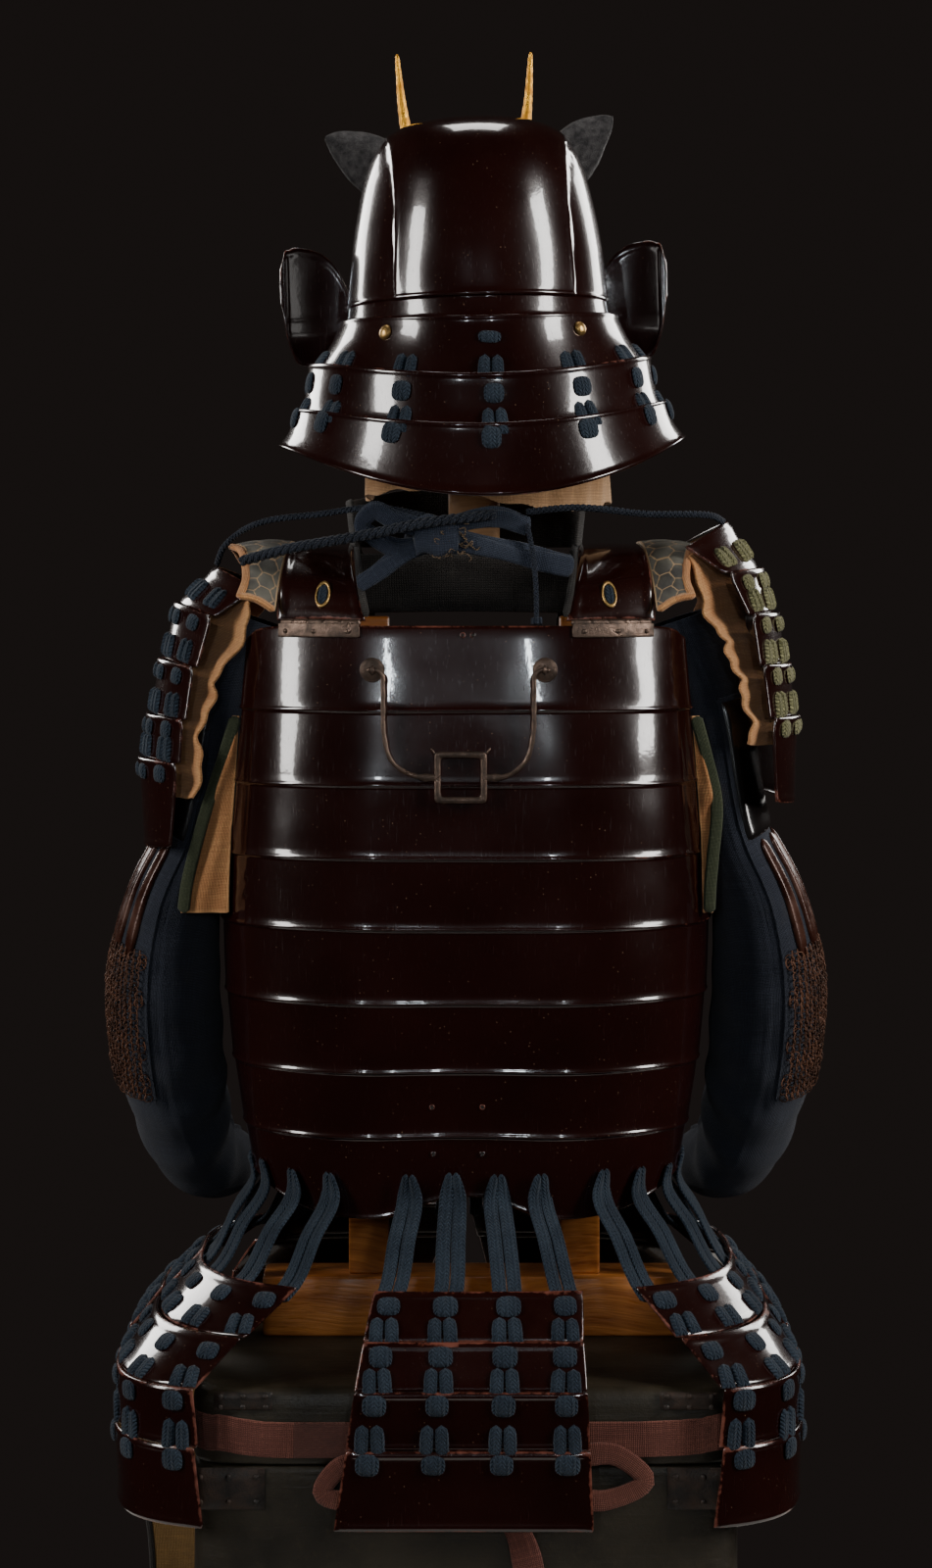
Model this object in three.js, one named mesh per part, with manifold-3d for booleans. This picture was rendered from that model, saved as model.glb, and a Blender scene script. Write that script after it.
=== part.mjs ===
// A samurai armour of the later, riveted kind, set up on its wooden stand and storage chest.
// Millimetres, +Z up. The armour's back faces -Y and its front faces +Y. The floor is at Z = 0.

import * as THREE from 'three';
import { mergeVertices } from 'three/addons/utils/BufferGeometryUtils.js';
import Module from 'manifold-3d';

const wasm = await Module();
wasm.setup();

// Driving dimensions
const PLATE = 2.2; // lacquered plate
const CLOTH = 2; // hemp cloth and its lining
const GAP = 0.4; // between pieces that touch
const LACING = 2.6; // how far a laced knot stands proud
const CHEST = { width: 440, depth: 380, height: 450, lid: 60, board: 12, lidBoard: 10 };
const BACK_TOP = 1054; // top of the back plate above the floor
const HELMET_BASE = 1308; // rim of the helmet bowl above the floor
const HELMET = { x: 11, y: 12, yaw: 3.3, roll: 1.5 }; // place in mm, turns in degrees
const DEGREE = Math.PI / 180;

const point = (x, y, z) => new THREE.Vector3(x, y, z);
const mix = (a, b, t) => a + (b - a) * t;
const clamp01 = (t) => Math.min(1, Math.max(0, t));
const signedPower = (value, power) => Math.sign(value) * Math.abs(value) ** power;
const steps = (count) => Array.from({ length: count + 1 }, (_, i) => i / count);

/** Reads every column of a table at `at`, in a straight line between the rows on either side. */
function readTable(rows, key, at) {
  const rising = rows[rows.length - 1][key] > rows[0][key];
  const sorted = rising ? rows : [...rows].reverse();
  let i = 0;
  while (i < sorted.length - 2 && at > sorted[i + 1][key]) i += 1;
  const [low, high] = [sorted[i], sorted[i + 1]];
  const t = clamp01((at - low[key]) / (high[key] - low[key]));
  return Object.fromEntries(Object.keys(low).map((name) => [name, mix(low[name], high[name], t)]));
}

/** Gathers points and triangles, and gives a closed mesh with its faces pointing out. */
class Skin {
  constructor() {
    this.places = [];
    this.faces = [];
  }

  row(points) {
    return points.map((p) => this.places.push(p) - 1);
  }

  quad(a, b, c, d) {
    this.faces.push([a, b, c], [a, c, d]);
  }

  /** Fills the ground between two rows that may have different numbers of points. */
  zip(first, second) {
    let [i, j] = [0, 0];
    while (i < first.length - 1 || j < second.length - 1) {
      const early = (i + 1) / (first.length - 1) <= (j + 1) / (second.length - 1);
      if (j === second.length - 1 || (i < first.length - 1 && early)) {
        this.faces.push([first[i + 1], first[i], second[j]]);
        i += 1;
      } else {
        this.faces.push([first[i], second[j], second[j + 1]]);
        j += 1;
      }
    }
  }

  geometry() {
    let volume = 0;
    for (const [a, b, c] of this.faces) {
      volume += this.places[a].dot(point(0, 0, 0).crossVectors(this.places[b], this.places[c]));
    }
    const faces = volume > 0 ? this.faces : this.faces.map(([a, b, c]) => [a, c, b]);
    const result = new THREE.BufferGeometry();
    const numbers = this.places.flatMap((p) => [p.x, p.y, p.z]);
    result.setAttribute('position', new THREE.Float32BufferAttribute(numbers, 3));
    result.setIndex(faces.flat());
    return result;
  }
}

/** The way out at each point of a grid whose rows run down and whose columns run to the right. */
function gridNormals(grid, looped) {
  const columns = grid[0].length;
  const along = (i) => (looped ? (i + columns) % columns : Math.min(columns - 1, Math.max(0, i)));
  return grid.map((row, r) => row.map((_, c) => {
    const up = grid[Math.min(grid.length - 1, r + 1)][c];
    const down = grid[Math.max(0, r - 1)][c];
    const across = row[along(c + 1)].clone().sub(row[along(c - 1)]);
    return up.clone().sub(down).cross(across).normalize();
  }));
}

/** The same grid, moved along its normals. */
function movedOut(grid, distance, looped = false) {
  const ways = gridNormals(grid, looped);
  return grid.map((row, r) => row.map((p, c) => p.clone().addScaledVector(ways[r][c], distance)));
}

/**
 * A wall between an outer and an inner grid of points. `raised(row, column)` says which cells of
 * the outer grid stand proud, as a laced knot does, and by how much.
 */
function wall(outer, inner, raised = () => 0, inset = 0.12) {
  const skin = new Skin();
  const out = outer.map((row) => skin.row(row));
  const back = inner.map((row) => skin.row(row));
  const ways = gridNormals(outer, false);
  for (let r = 0; r < out.length - 1; r += 1) {
    for (let c = 0; c < out[0].length - 1; c += 1) {
      const corners = [[r, c], [r, c + 1], [r + 1, c + 1], [r + 1, c]];
      const edge = corners.map(([i, j]) => out[i][j]);
      const height = raised(r, c);
      if (height) {
        const centre = point(0, 0, 0);
        corners.forEach(([i, j]) => centre.addScaledVector(outer[i][j], 0.25));
        const top = skin.row(corners.map(([i, j]) => outer[i][j].clone().lerp(centre, inset)
          .addScaledVector(ways[r][c], height)));
        for (let k = 0; k < 4; k += 1) {
          const next = (k + 1) % 4;
          skin.quad(edge[k], edge[next], top[next], top[k]);
        }
        skin.quad(...top);
      } else {
        skin.quad(...edge);
      }
    }
  }
  for (let r = 0; r < back.length - 1; r += 1) {
    for (let c = 0; c < back[0].length - 1; c += 1) {
      skin.quad(back[r][c], back[r + 1][c], back[r + 1][c + 1], back[r][c + 1]);
    }
  }
  const side = (rows, c) => rows.map((row) => row[c]);
  skin.zip(out[0], back[0]);
  skin.zip([...out[out.length - 1]].reverse(), [...back[back.length - 1]].reverse());
  skin.zip(side(out, 0).reverse(), side(back, 0).reverse());
  skin.zip(side(out, outer[0].length - 1), side(back, inner[0].length - 1));
  return skin.geometry();
}

/** A wall of even thickness on the inside of a grid of points. */
const sheet = (grid, thickness, raised) => wall(grid, movedOut(grid, -thickness), raised);

/** A tube wall between outer and inner rings, open at both ends. */
function tubeWall(outer, inner) {
  const skin = new Skin();
  const out = outer.map((ring) => skin.row(ring));
  const back = inner.map((ring) => skin.row(ring));
  const count = outer[0].length;
  for (let c = 0; c < count; c += 1) {
    const n = (c + 1) % count;
    for (let r = 0; r < out.length - 1; r += 1) {
      skin.quad(out[r][c], out[r][n], out[r + 1][n], out[r + 1][c]);
      skin.quad(back[r][c], back[r + 1][c], back[r + 1][n], back[r][n]);
    }
    const last = out.length - 1;
    skin.quad(out[0][n], out[0][c], back[0][c], back[0][n]);
    skin.quad(out[last][c], out[last][n], back[last][n], back[last][c]);
  }
  return skin.geometry();
}

/** A closed shape through rings, with each end drawn to a point. */
function closedLoft(rings, start, end) {
  const skin = new Skin();
  const rows = rings.map((ring) => skin.row(ring));
  const [first] = skin.row([start]);
  const [last] = skin.row([end]);
  const count = rings[0].length;
  for (let c = 0; c < count; c += 1) {
    const n = (c + 1) % count;
    skin.faces.push([first, rows[0][n], rows[0][c]]);
    skin.faces.push([last, rows[rows.length - 1][c], rows[rows.length - 1][n]]);
    for (let r = 0; r < rows.length - 1; r += 1) {
      skin.quad(rows[r][c], rows[r][n], rows[r + 1][n], rows[r + 1][c]);
    }
  }
  return skin.geometry();
}

/**
 * A rod or strap along a list of points. `wide` and `thick` are its half sizes at each share of
 * the way, and `face` is the direction that its flat side looks in.
 */
function strap(path, wide, thick, face, sides = 8, stations = path.length * 2) {
  const line = new THREE.CatmullRomCurve3(path, false, 'centripetal');
  const rings = steps(stations).map((t) => {
    const centre = line.getPoint(t);
    const along = line.getTangent(t);
    const across = along.clone().cross(face).normalize();
    const up = across.clone().cross(along).normalize();
    return steps(sides).slice(0, sides).map((s) => {
      const angle = (s + 0.5 / sides) * 2 * Math.PI;
      return centre.clone()
        .addScaledVector(across, wide(t) * Math.cos(angle))
        .addScaledVector(up, thick(t) * Math.sin(angle));
    });
  });
  return closedLoft(rings, line.getPoint(0), line.getPoint(1));
}

/** A round cord along a list of points. */
const cord = (path, radius, stations) => strap(
  path, () => radius, () => radius, point(0.21, 0.34, 0.92), 6, stations);

const bar = (size, centre) => new THREE.BoxGeometry(...size).translate(...centre);

/** A geometry as a solid that can be joined and cut. */
function toSolid(geometry) {
  const plain = geometry.clone();
  plain.deleteAttribute('normal');
  plain.deleteAttribute('uv');
  const merged = mergeVertices(plain, 1e-4);
  return new wasm.Manifold(new wasm.Mesh({
    numProp: 3,
    vertProperties: new Float32Array(merged.attributes.position.array),
    triVerts: new Uint32Array(merged.index.array),
  }));
}

function toGeometry(solid) {
  const mesh = solid.getMesh();
  const result = new THREE.BufferGeometry();
  result.setAttribute('position', new THREE.BufferAttribute(new Float32Array(mesh.vertProperties), 3));
  result.setIndex(new THREE.BufferAttribute(new Uint32Array(mesh.triVerts), 1));
  return result;
}

const joined = (...pieces) => toGeometry(pieces.map(toSolid).reduce((a, b) => a.add(b)));
const cutBy = (piece, ...tools) => toGeometry(tools.map(toSolid)
  .reduce((a, b) => a.subtract(b), toSolid(piece)));

// Colours and finishes
const finish = (color, roughness, metalness = 0) => new THREE.MeshStandardMaterial({
  color, roughness, metalness,
});
const lacquer = finish('#3a0f0a', 0.15);
const blackLacquer = finish('#14100e', 0.25);
const iron = finish('#3a332e', 0.5, 0.8);
const roughIron = finish('#2c2a29', 0.6, 0.5);
const gold = finish('#c98a2a', 0.4, 0.6);
const blueCord = finish('#33404f', 0.9);
const blueHemp = finish('#363c4a', 0.95);
const tanHemp = finish('#c98a4a', 0.95);
const greyLeather = finish('#4b4a49', 0.7);
const redHemp = finish('#8a4a3a', 0.95);
const wood = finish('#b5651d', 0.5);
const greenLacquer = finish('#3b3a22', 0.6);

const armour = new THREE.Group();

function place(name, geometry, material, group = armour) {
  const mesh = new THREE.Mesh(geometry, material);
  mesh.name = name;
  group.add(mesh);
  return mesh;
}

/** The same piece on the other side of the armour. */
const mirrored = (geometry) => {
  const copy = geometry.clone().scale(-1, 1, 1);
  const faces = copy.index.array;
  for (let i = 0; i < faces.length; i += 3) [faces[i], faces[i + 1]] = [faces[i + 1], faces[i]];
  return copy;
};

// Cuirass: rounded oblong rings, boxy across the back, with a shallow channel down the spine.
const TORSO = [
  { z: 560, half: 172, back: 108, front: 112, spine: 9 },
  { z: 600, half: 181, back: 114, front: 120, spine: 11 },
  { z: 667, half: 194, back: 121, front: 130, spine: 13 },
  { z: 751, half: 204, back: 129, front: 138, spine: 11 },
  { z: 828, half: 207, back: 133, front: 140, spine: 8 },
  { z: 880, half: 205, back: 135, front: 138, spine: 6 },
  { z: 985, half: 200, back: 133, front: 128, spine: 4 },
  { z: 1060, half: 196, back: 125, front: 112, spine: 2 },
];
const TORSO_POWER = 2 / 2.5;
const SPINE_WIDTH = 14; // degrees
const LAME_EDGES = [985, 924, 864, 806, 745, 688, 634];
const LAME_STEP = 1.4; // each lame stands this far over the one under it at its lower edge

/** A point of the cuirass, at an angle in degrees from the middle of the back. */
function torsoPoint(angle, z, out = 0) {
  const row = readTable(TORSO, 'z', z);
  const turn = angle * DEGREE;
  const behind = Math.cos(turn) > 0;
  const channel = behind ? row.spine * Math.exp(-((angle / SPINE_WIDTH) ** 2)) : 0;
  const depth = (behind ? row.back : row.front) + out;
  return point(
    (row.half + out) * signedPower(Math.sin(turn), TORSO_POWER),
    -depth * signedPower(Math.cos(turn), TORSO_POWER) + channel,
    z,
  );
}

/** How far round the back plate reaches at each height: it narrows above the armholes. */
const BACK_EDGE = [
  { z: 560, reach: 90 },
  { z: 826, reach: 90 },
  { z: 838, reach: 81 },
  { z: 856, reach: 73 },
  { z: 890, reach: 69.5 },
  { z: 980, reach: 67 },
  { z: 1060, reach: 66 },
];
const backReach = (z) => readTable(BACK_EDGE, 'z', z).reach;

/** The lower edge of the cuirass rises to an arch at the spine and again to the sides. */
const hemHeight = (angle) => 565 + 20 * Math.exp(-((angle / 12) ** 2)) + 34 * Math.sin(angle * DEGREE) ** 4;
const neckHeight = (share) => BACK_TOP - 13 * Math.abs(share) ** 9;

/** Heights down a plate, with each lame's lower edge named twice for the step there. */
function lameRows(top, edges) {
  const rows = [{ z: top, lift: 0 }];
  edges.forEach((z) => rows.push({ z: z + 1, lift: LAME_STEP }, { z: z - 1, lift: 0 }));
  return rows;
}

const backColumns = [-1, -0.97, -0.84, -0.68, -0.5, -0.32, -0.2, -0.1, 0, 0.1, 0.2, 0.32, 0.5, 0.68,
  0.84, 0.97, 1];
const backRows = [...lameRows(BACK_TOP, LAME_EDGES), { z: 0, lift: LAME_STEP }];

function backGrid(rows, columns, inward) {
  return rows.map(({ z, lift }) => columns.map((share) => {
    const height = z === BACK_TOP ? neckHeight(share) : z || hemHeight(share * 90);
    const rim = Math.abs(share) === 1 ? LAME_STEP : lift;
    return torsoPoint(share * backReach(height), height, inward ? -PLATE : rim);
  }));
}

const innerRows = [BACK_TOP, 985, 890, 856, 838, 826, 745, 667, 0].map((z) => ({ z, lift: 0 }));
const innerColumns = [-1, -0.68, -0.4, -0.1, 0.1, 0.4, 0.68, 1];
place('back_plate', wall(backGrid(backRows, backColumns, false),
  backGrid(innerRows, innerColumns, true)), lacquer);

// The front plate carries on from the side seams and is cut lower at the neck and armholes.
const FRONT_TOP = 1000;
const FRONT_EDGE = [
  { z: 560, reach: 89.95 },
  { z: 826, reach: 89.95 },
  { z: 842, reach: 76 },
  { z: 870, reach: 62 },
  { z: 940, reach: 52 },
  { z: 1000, reach: 48 },
];
const frontRows = [...lameRows(FRONT_TOP, LAME_EDGES.slice(1)), { z: 0, lift: LAME_STEP }];

function frontGrid(rows, columns, out) {
  return rows.map(({ z, lift }) => steps(columns).map((t) => {
    const share = t * 2 - 1;
    const height = z || hemHeight(0) - 18 + 32 * share ** 4;
    const reach = readTable(FRONT_EDGE, 'z', height).reach;
    return torsoPoint(180 + share * reach, height, out + lift);
  }));
}

place('front_plate', wall(frontGrid(frontRows, 16, 0),
  frontGrid([1000, 940, 870, 842, 826, 745, 667, 0].map((z) => ({ z, lift: 0 })), 10, -PLATE)), lacquer);

// Shoulder straps run from the hinges on the back plate, over the stand's bar, to the front plate.
const STRAP = [
  { y: -118.5, z: 1061.8, inner: 84, outer: 156, sweep: 27 },
  { y: -98, z: 1090, inner: 90, outer: 154, sweep: 14 },
  { y: -62, z: 1114, inner: 94, outer: 151, sweep: 4 },
  { y: -22, z: 1122, inner: 96, outer: 149, sweep: 0 },
  { y: 24, z: 1122, inner: 96, outer: 146, sweep: 0 },
  { y: 66, z: 1104, inner: 92, outer: 138, sweep: 0 },
  { y: 92, z: 1066, inner: 86, outer: 130, sweep: -3 },
  { y: 106, z: 1030, inner: 82, outer: 124, sweep: -6 },
  { y: 118, z: 1002.7, inner: 80, outer: 120, sweep: -8 },
];
const STRAP_CROWN = 1.5; // each edge lies this much lower than the middle

const strapGrid = STRAP.map((row) => [1, 0.75, 0.5, 0.25, 0].map((t) => point(
  mix(row.inner, row.outer, t), row.y + row.sweep * t, row.z - STRAP_CROWN * (2 * t - 1) ** 2)));
const strapRight = sheet(strapGrid, 3);
place('shoulder_strap_right', strapRight, lacquer);
place('shoulder_strap_left', mirrored(strapRight), lacquer);

// Hinges: a pin and three knuckles on the top edge of the back plate, under each strap.
const hingePath = [21, 30, 39, 47].map((angle) => torsoPoint(angle, BACK_TOP + 3.5, -0.5));
const knuckle = (t) => (t < 0.06 || t > 0.94 || Math.abs(t - 0.35) < 0.03 || Math.abs(t - 0.65) < 0.03
  ? 2 : 3);
const hinge = strap(hingePath, knuckle, knuckle, point(0, 0, 1), 6, 16);
place('hinge_right', hinge, iron);
place('hinge_left', mirrored(hinge), iron);

// Bracket: a square iron frame that hangs from two studs on the back plate and swings on them.
const STUD = { left: -76, right: 64, z: 1019.3, disc: 9.5, eye: 3.4, bore: 2.1 };
const PIN_Y = torsoPoint(0, STUD.z).y - 10;

function stud(x) {
  const angle = Math.asin(((Math.abs(x) - STUD.disc) / readTable(TORSO, 'z', STUD.z).half) ** (1 / TORSO_POWER));
  const seat = point(x, torsoPoint(angle / DEGREE, STUD.z).y - LAME_STEP - GAP, STUD.z);
  const disc = new THREE.CylinderGeometry(STUD.disc, STUD.disc, 2, 20)
    .translate(x, seat.y - 1, STUD.z);
  const lug = bar([5, PIN_Y * -1 + seat.y, 6], [x, (PIN_Y + seat.y) / 2 - 0.5, STUD.z]);
  const eye = new THREE.CylinderGeometry(STUD.eye, STUD.eye, 5, 16).rotateZ(Math.PI / 2)
    .translate(x, PIN_Y, STUD.z);
  const bore = new THREE.CylinderGeometry(STUD.bore, STUD.bore, 12, 16).rotateZ(Math.PI / 2)
    .translate(x, PIN_Y, STUD.z);
  return cutBy(joined(disc, lug, eye), bore);
}
place('stud_left', stud(STUD.left), iron);
place('stud_right', stud(STUD.right), iron);

const FRAME = { left: -25.8, right: 17.1, top: 953.4, bottom: 911.3, rim: 5, thick: 4 };
const middleX = (FRAME.left + FRAME.right) / 2;
const frameWidth = FRAME.right - FRAME.left;
const frameHeight = FRAME.top - FRAME.bottom;
const frameCentre = [middleX, PIN_Y, (FRAME.top + FRAME.bottom) / 2];
const arm = (x, side) => cord([
  point(x + side * 4.5, PIN_Y, STUD.z),
  point(x - side * 3, PIN_Y, STUD.z),
  point(x - side * 7.5, PIN_Y, STUD.z - 3.5),
  point(x - side * 8.5, PIN_Y, STUD.z - 14),
  point(x - side * 9.5, PIN_Y, 967),
  point(x - side * 16, PIN_Y, 945),
  point(middleX + side * 38, PIN_Y, 934),
  point(middleX + side * 19, PIN_Y, 932.4),
], 1.7, 13);
place('bracket', joined(
  cutBy(bar([frameWidth, FRAME.thick, frameHeight], frameCentre),
    bar([frameWidth - 2 * FRAME.rim, 9, frameHeight - 2 * FRAME.rim], frameCentre)),
  arm(STUD.left, -1),
  arm(STUD.right, 1),
), iron);

// Helmet, drawn around the middle of its rim and then set on the stand.
const onStand = new THREE.Matrix4().makeTranslation(HELMET.x, HELMET.y, HELMET_BASE)
  .multiply(new THREE.Matrix4().makeRotationZ(HELMET.yaw * DEGREE))
  .multiply(new THREE.Matrix4().makeRotationY(-HELMET.roll * DEGREE));
const helmetPiece = (name, geometry, material) => place(name, geometry.applyMatrix4(onStand), material);

const BOWL = [
  { z: 0, half: 114 },
  { z: 23, half: 110.5 },
  { z: 63, half: 106.5 },
  { z: 97, half: 101 },
  { z: 131, half: 93 },
  { z: 155, half: 82 },
  { z: 170, half: 64 },
  { z: 177, half: 36 },
];
const BOWL_TOP = 179.5;
const BOWL_DEPTH = 1.11; // front to back over side to side
const STRIP = { half: 73, lift: 1.8 }; // the middle plate lies over the side plates
const BOWL_WALL = 2.6;

/** Angles round the bowl, from the back, with both edges of the middle plate named twice. */
function bowlAngles(half) {
  const edge = Math.min(80, Math.asin(Math.min(1, STRIP.half / half)) / DEGREE);
  const quarter = [0, edge * 0.55, edge - 0.6, edge + 0.6, (edge + 90) / 2];
  const side = [...quarter, 90, ...quarter.slice(1).reverse().map((angle) => 180 - angle)];
  return [...side, 180, ...side.slice(1).reverse().map((angle) => -angle)];
}

function bowlRing(row, out, strip) {
  return bowlAngles(row.half).map((angle) => {
    const middle = Math.min(Math.abs(angle), 180 - Math.abs(angle));
    const edge = Math.min(80, Math.asin(Math.min(1, STRIP.half / row.half)) / DEGREE);
    const reach = row.half + out + (middle < edge ? strip : 0);
    return point(reach * Math.sin(angle * DEGREE), -reach * BOWL_DEPTH * Math.cos(angle * DEGREE), row.z);
  });
}

function bowlWall() {
  const skin = new Skin();
  const out = BOWL.map((row) => skin.row(bowlRing(row, 0, STRIP.lift)));
  const back = BOWL.map((row, i) => skin.row(bowlRing(
    { half: row.half, z: row.z - (i > 4 ? BOWL_WALL * 0.8 : 0) }, -BOWL_WALL, 0)));
  const [top] = skin.row([point(0, 0, BOWL_TOP)]);
  const [under] = skin.row([point(0, 0, BOWL_TOP - BOWL_WALL)]);
  const count = out[0].length;
  const last = BOWL.length - 1;
  for (let c = 0; c < count; c += 1) {
    const n = (c + 1) % count;
    for (let r = 0; r < last; r += 1) {
      skin.quad(out[r][c], out[r][n], out[r + 1][n], out[r + 1][c]);
      skin.quad(back[r][c], back[r + 1][c], back[r + 1][n], back[r][n]);
    }
    skin.quad(out[0][n], out[0][c], back[0][c], back[0][n]);
    skin.faces.push([out[last][c], out[last][n], top], [back[last][n], back[last][c], under]);
  }
  return skin.geometry();
}
helmetPiece('helmet_bowl', bowlWall(), lacquer);

/** The bowl's outside as a filled shape, a little larger or smaller, to cut other pieces to it. */
const bowlMould = (grow) => closedLoft(BOWL.map((row) => bowlRing(row, grow, STRIP.lift)),
  point(0, 0, -1), point(0, 0, BOWL_TOP + grow));

// Neck guard: three lames from the rim of the bowl, each laced over the one above.
const NECK_GUARD = [
  [
    { rear: 1, side: 8, half: 118.3, deep: 131.9 },
    { rear: -26, side: -12, half: 128, deep: 137 },
    { rear: -52, side: -34, half: 144, deep: 143 },
  ],
  [
    { rear: -47, side: -28, half: 146, deep: 145.2 },
    { rear: -78, side: -58, half: 151, deep: 149 },
    { rear: -92, side: -72, half: 157, deep: 153 },
  ],
  [
    { rear: -88, side: -66, half: 159, deep: 155 },
    { rear: -118, side: -84, half: 165, deep: 160 },
    { rear: -147, side: -97, half: 174, deep: 166 },
  ],
];
const NECK_REACH = [116, 113, 110]; // degrees each side of the back
const NECK_LACING = [0, 30, 58, 80, 100];
const LACING_HALF = 3.4; // degrees

function neckLame(rows, reach, laced) {
  const both = (at) => (at ? [-at, at] : [0]);
  const marks = NECK_LACING.flatMap(both);
  const angles = [...[reach, 15, 44, 69].flatMap(both),
    ...marks.flatMap((at) => [at - LACING_HALF, at + LACING_HALF])].sort((a, b) => a - b);
  const laces = angles.map((angle, c) => marks.some((at) => Math.abs((angle + angles[c + 1]) / 2 - at) < 1));
  const grid = rows.map((row) => angles.map((angle) => {
    const across = Math.sin(Math.min(90, Math.abs(angle)) * DEGREE) ** 2;
    return point(row.half * Math.sin(angle * DEGREE), -row.deep * Math.cos(angle * DEGREE),
      mix(row.rear, row.side, across));
  }));
  return sheet(grid, PLATE, (r, c) => (laced.includes(r) && laces[c] ? LACING : 0));
}
helmetPiece('neck_guard_plate_1', neckLame(NECK_GUARD[0], NECK_REACH[0], [0]), lacquer);
helmetPiece('neck_guard_plate_2', neckLame(NECK_GUARD[1], NECK_REACH[1], [0]), lacquer);
helmetPiece('neck_guard_plate_3', neckLame(NECK_GUARD[2], NECK_REACH[2], [0, 1]), lacquer);

// The first lame's front ends are turned back into rounded wings.
const WING = [
  { t: 0, low: -8, high: 34 },
  { t: 0.18, low: -20, high: 58 },
  { t: 0.4, low: -26, high: 72 },
  { t: 0.65, low: -25, high: 77 },
  { t: 0.86, low: -14, high: 76 },
  { t: 0.96, low: 10, high: 70 },
  { t: 1, low: 30, high: 58 },
];
const wingGrid = [0, 0.25, 0.5, 0.75, 1].map((share) => WING.map((row) => point(
  107.5 + 61 * row.t, 62.4 - 18 * row.t ** 2, mix(row.high, row.low, share))));
const wing = sheet(wingGrid, PLATE);
helmetPiece('turnback_left', mirrored(wing), lacquer);
helmetPiece('turnback_right', wing, lacquer);

// Peak over the brow.
const PEAK = [
  { out: 0.8, z: 9 },
  { out: 22, z: 2 },
  { out: 46, z: -9 },
];
helmetPiece('helmet_peak', sheet(PEAK.map((row) => steps(12).map((t) => {
  const angle = (126 + 108 * t) * DEGREE;
  const reach = 1 - 0.35 * (2 * t - 1) ** 4;
  return point((113.4 + STRIP.lift + row.out * reach) * Math.sin(angle),
    -(125.9 + STRIP.lift * BOWL_DEPTH + row.out * reach) * Math.cos(angle), row.z);
})), PLATE), lacquer);

// Ears and horns stand on the bowl.
const ear = (tip) => cutBy(strap([point(52, 58, 134), point(84, 60, 150), point(108, 61, mix(150, tip, 0.6)),
  point(127, 60, tip)], (t) => mix(27, 2, t ** 1.3), (t) => mix(15, 2, t ** 1.3), point(0, 1, 0), 8, 5),
bowlMould(GAP));
helmetPiece('ear_left', mirrored(ear(176)), roughIron);
helmetPiece('ear_right', ear(189), roughIron);
const horn = cutBy(strap([point(46, 112, 66), point(47, 116, 110), point(50, 114, 160), point(57, 110, 215),
  point(60, 108, 255)], (t) => mix(9.5, 1.4, t), (t) => mix(6, 1.4, t), point(0, 1, 0), 8, 8),
bowlMould(GAP));
helmetPiece('horn_left', mirrored(horn.clone()), gold);
helmetPiece('horn_right', horn, gold);

// The liner is a curtain of hemp that hangs inside the bowl.
const LINER = [
  { z: -0.6, half: 110, deep: 121, wave: 0 },
  { z: -40, half: 106, deep: 104, wave: 1.5 },
  { z: -95, half: 104, deep: 92, wave: 3 },
  { z: -148, half: 103, deep: 84, wave: 5 },
];
helmetPiece('helmet_liner', sheet(LINER.map((row) => steps(24).map((t) => {
  const angle = (2 * t - 1) * 112 * DEGREE;
  const fold = row.wave * (Math.sin(angle * 5.3 + 0.6) + 0.5 * Math.sin(angle * 9.1));
  return point((row.half + fold) * Math.sin(angle), -(row.deep + fold) * Math.cos(angle),
    row.z - (row.wave > 4 ? 9 * Math.sin(angle) + 5 * Math.sin(angle * 3) : 0));
})), CLOTH), tanHemp);

// Wooden stand: a foot on the lid, two posts, a padded bar for the shoulders and a head block.
const STAND = { footZ: CHEST.height + GAP, footHeight: 50, post: 34, barLow: 1064, barHigh: 1117.1 };
const postHeight = STAND.barLow - GAP - 2 - STAND.footZ - STAND.footHeight + 4;
const postAt = (x) => bar([STAND.post, 30, postHeight],
  [x, 5, STAND.footZ + STAND.footHeight - 4 + postHeight / 2]);
place('stand_frame', joined(
  bar([360, 56, STAND.footHeight], [7, 5, STAND.footZ + STAND.footHeight / 2]),
  postAt(-83),
  postAt(97),
), wood);
const barHalf = (STAND.barHigh - STAND.barLow) / 2;
place('shoulder_bar', strap([point(-168, 2, STAND.barLow + barHalf - 6), point(-90, 2, STAND.barLow + barHalf),
  point(0, 2, STAND.barLow + barHalf), point(90, 2, STAND.barLow + barHalf),
  point(168, 2, STAND.barLow + barHalf - 6)],
(t) => (t < 0.02 || t > 0.98 ? 10 : 22),
(t) => barHalf * (t < 0.02 || t > 0.98 ? 0.5 : 1.03),
point(0, 0, 1), 12, 8), finish('#1b1a1c', 0.9));

const blockRows = [0.32, 0.5, 0.68, 0.82, 0.93, 0.985];
const headBlock = closedLoft(blockRows.map((share) => {
  const row = readTable(BOWL, 'z', share * 177);
  return bowlRing({ half: row.half, z: row.z - 3.4 }, -BOWL_WALL - 4, 0);
}), point(0, 0, 50), point(0, 0, BOWL_TOP - BOWL_WALL - GAP)).applyMatrix4(onStand);
const neckLow = STAND.barHigh + 1;
place('head_block', joined(bar([44, 34, 260], [7, 4, neckLow + 130]), headBlock), wood);

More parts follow.
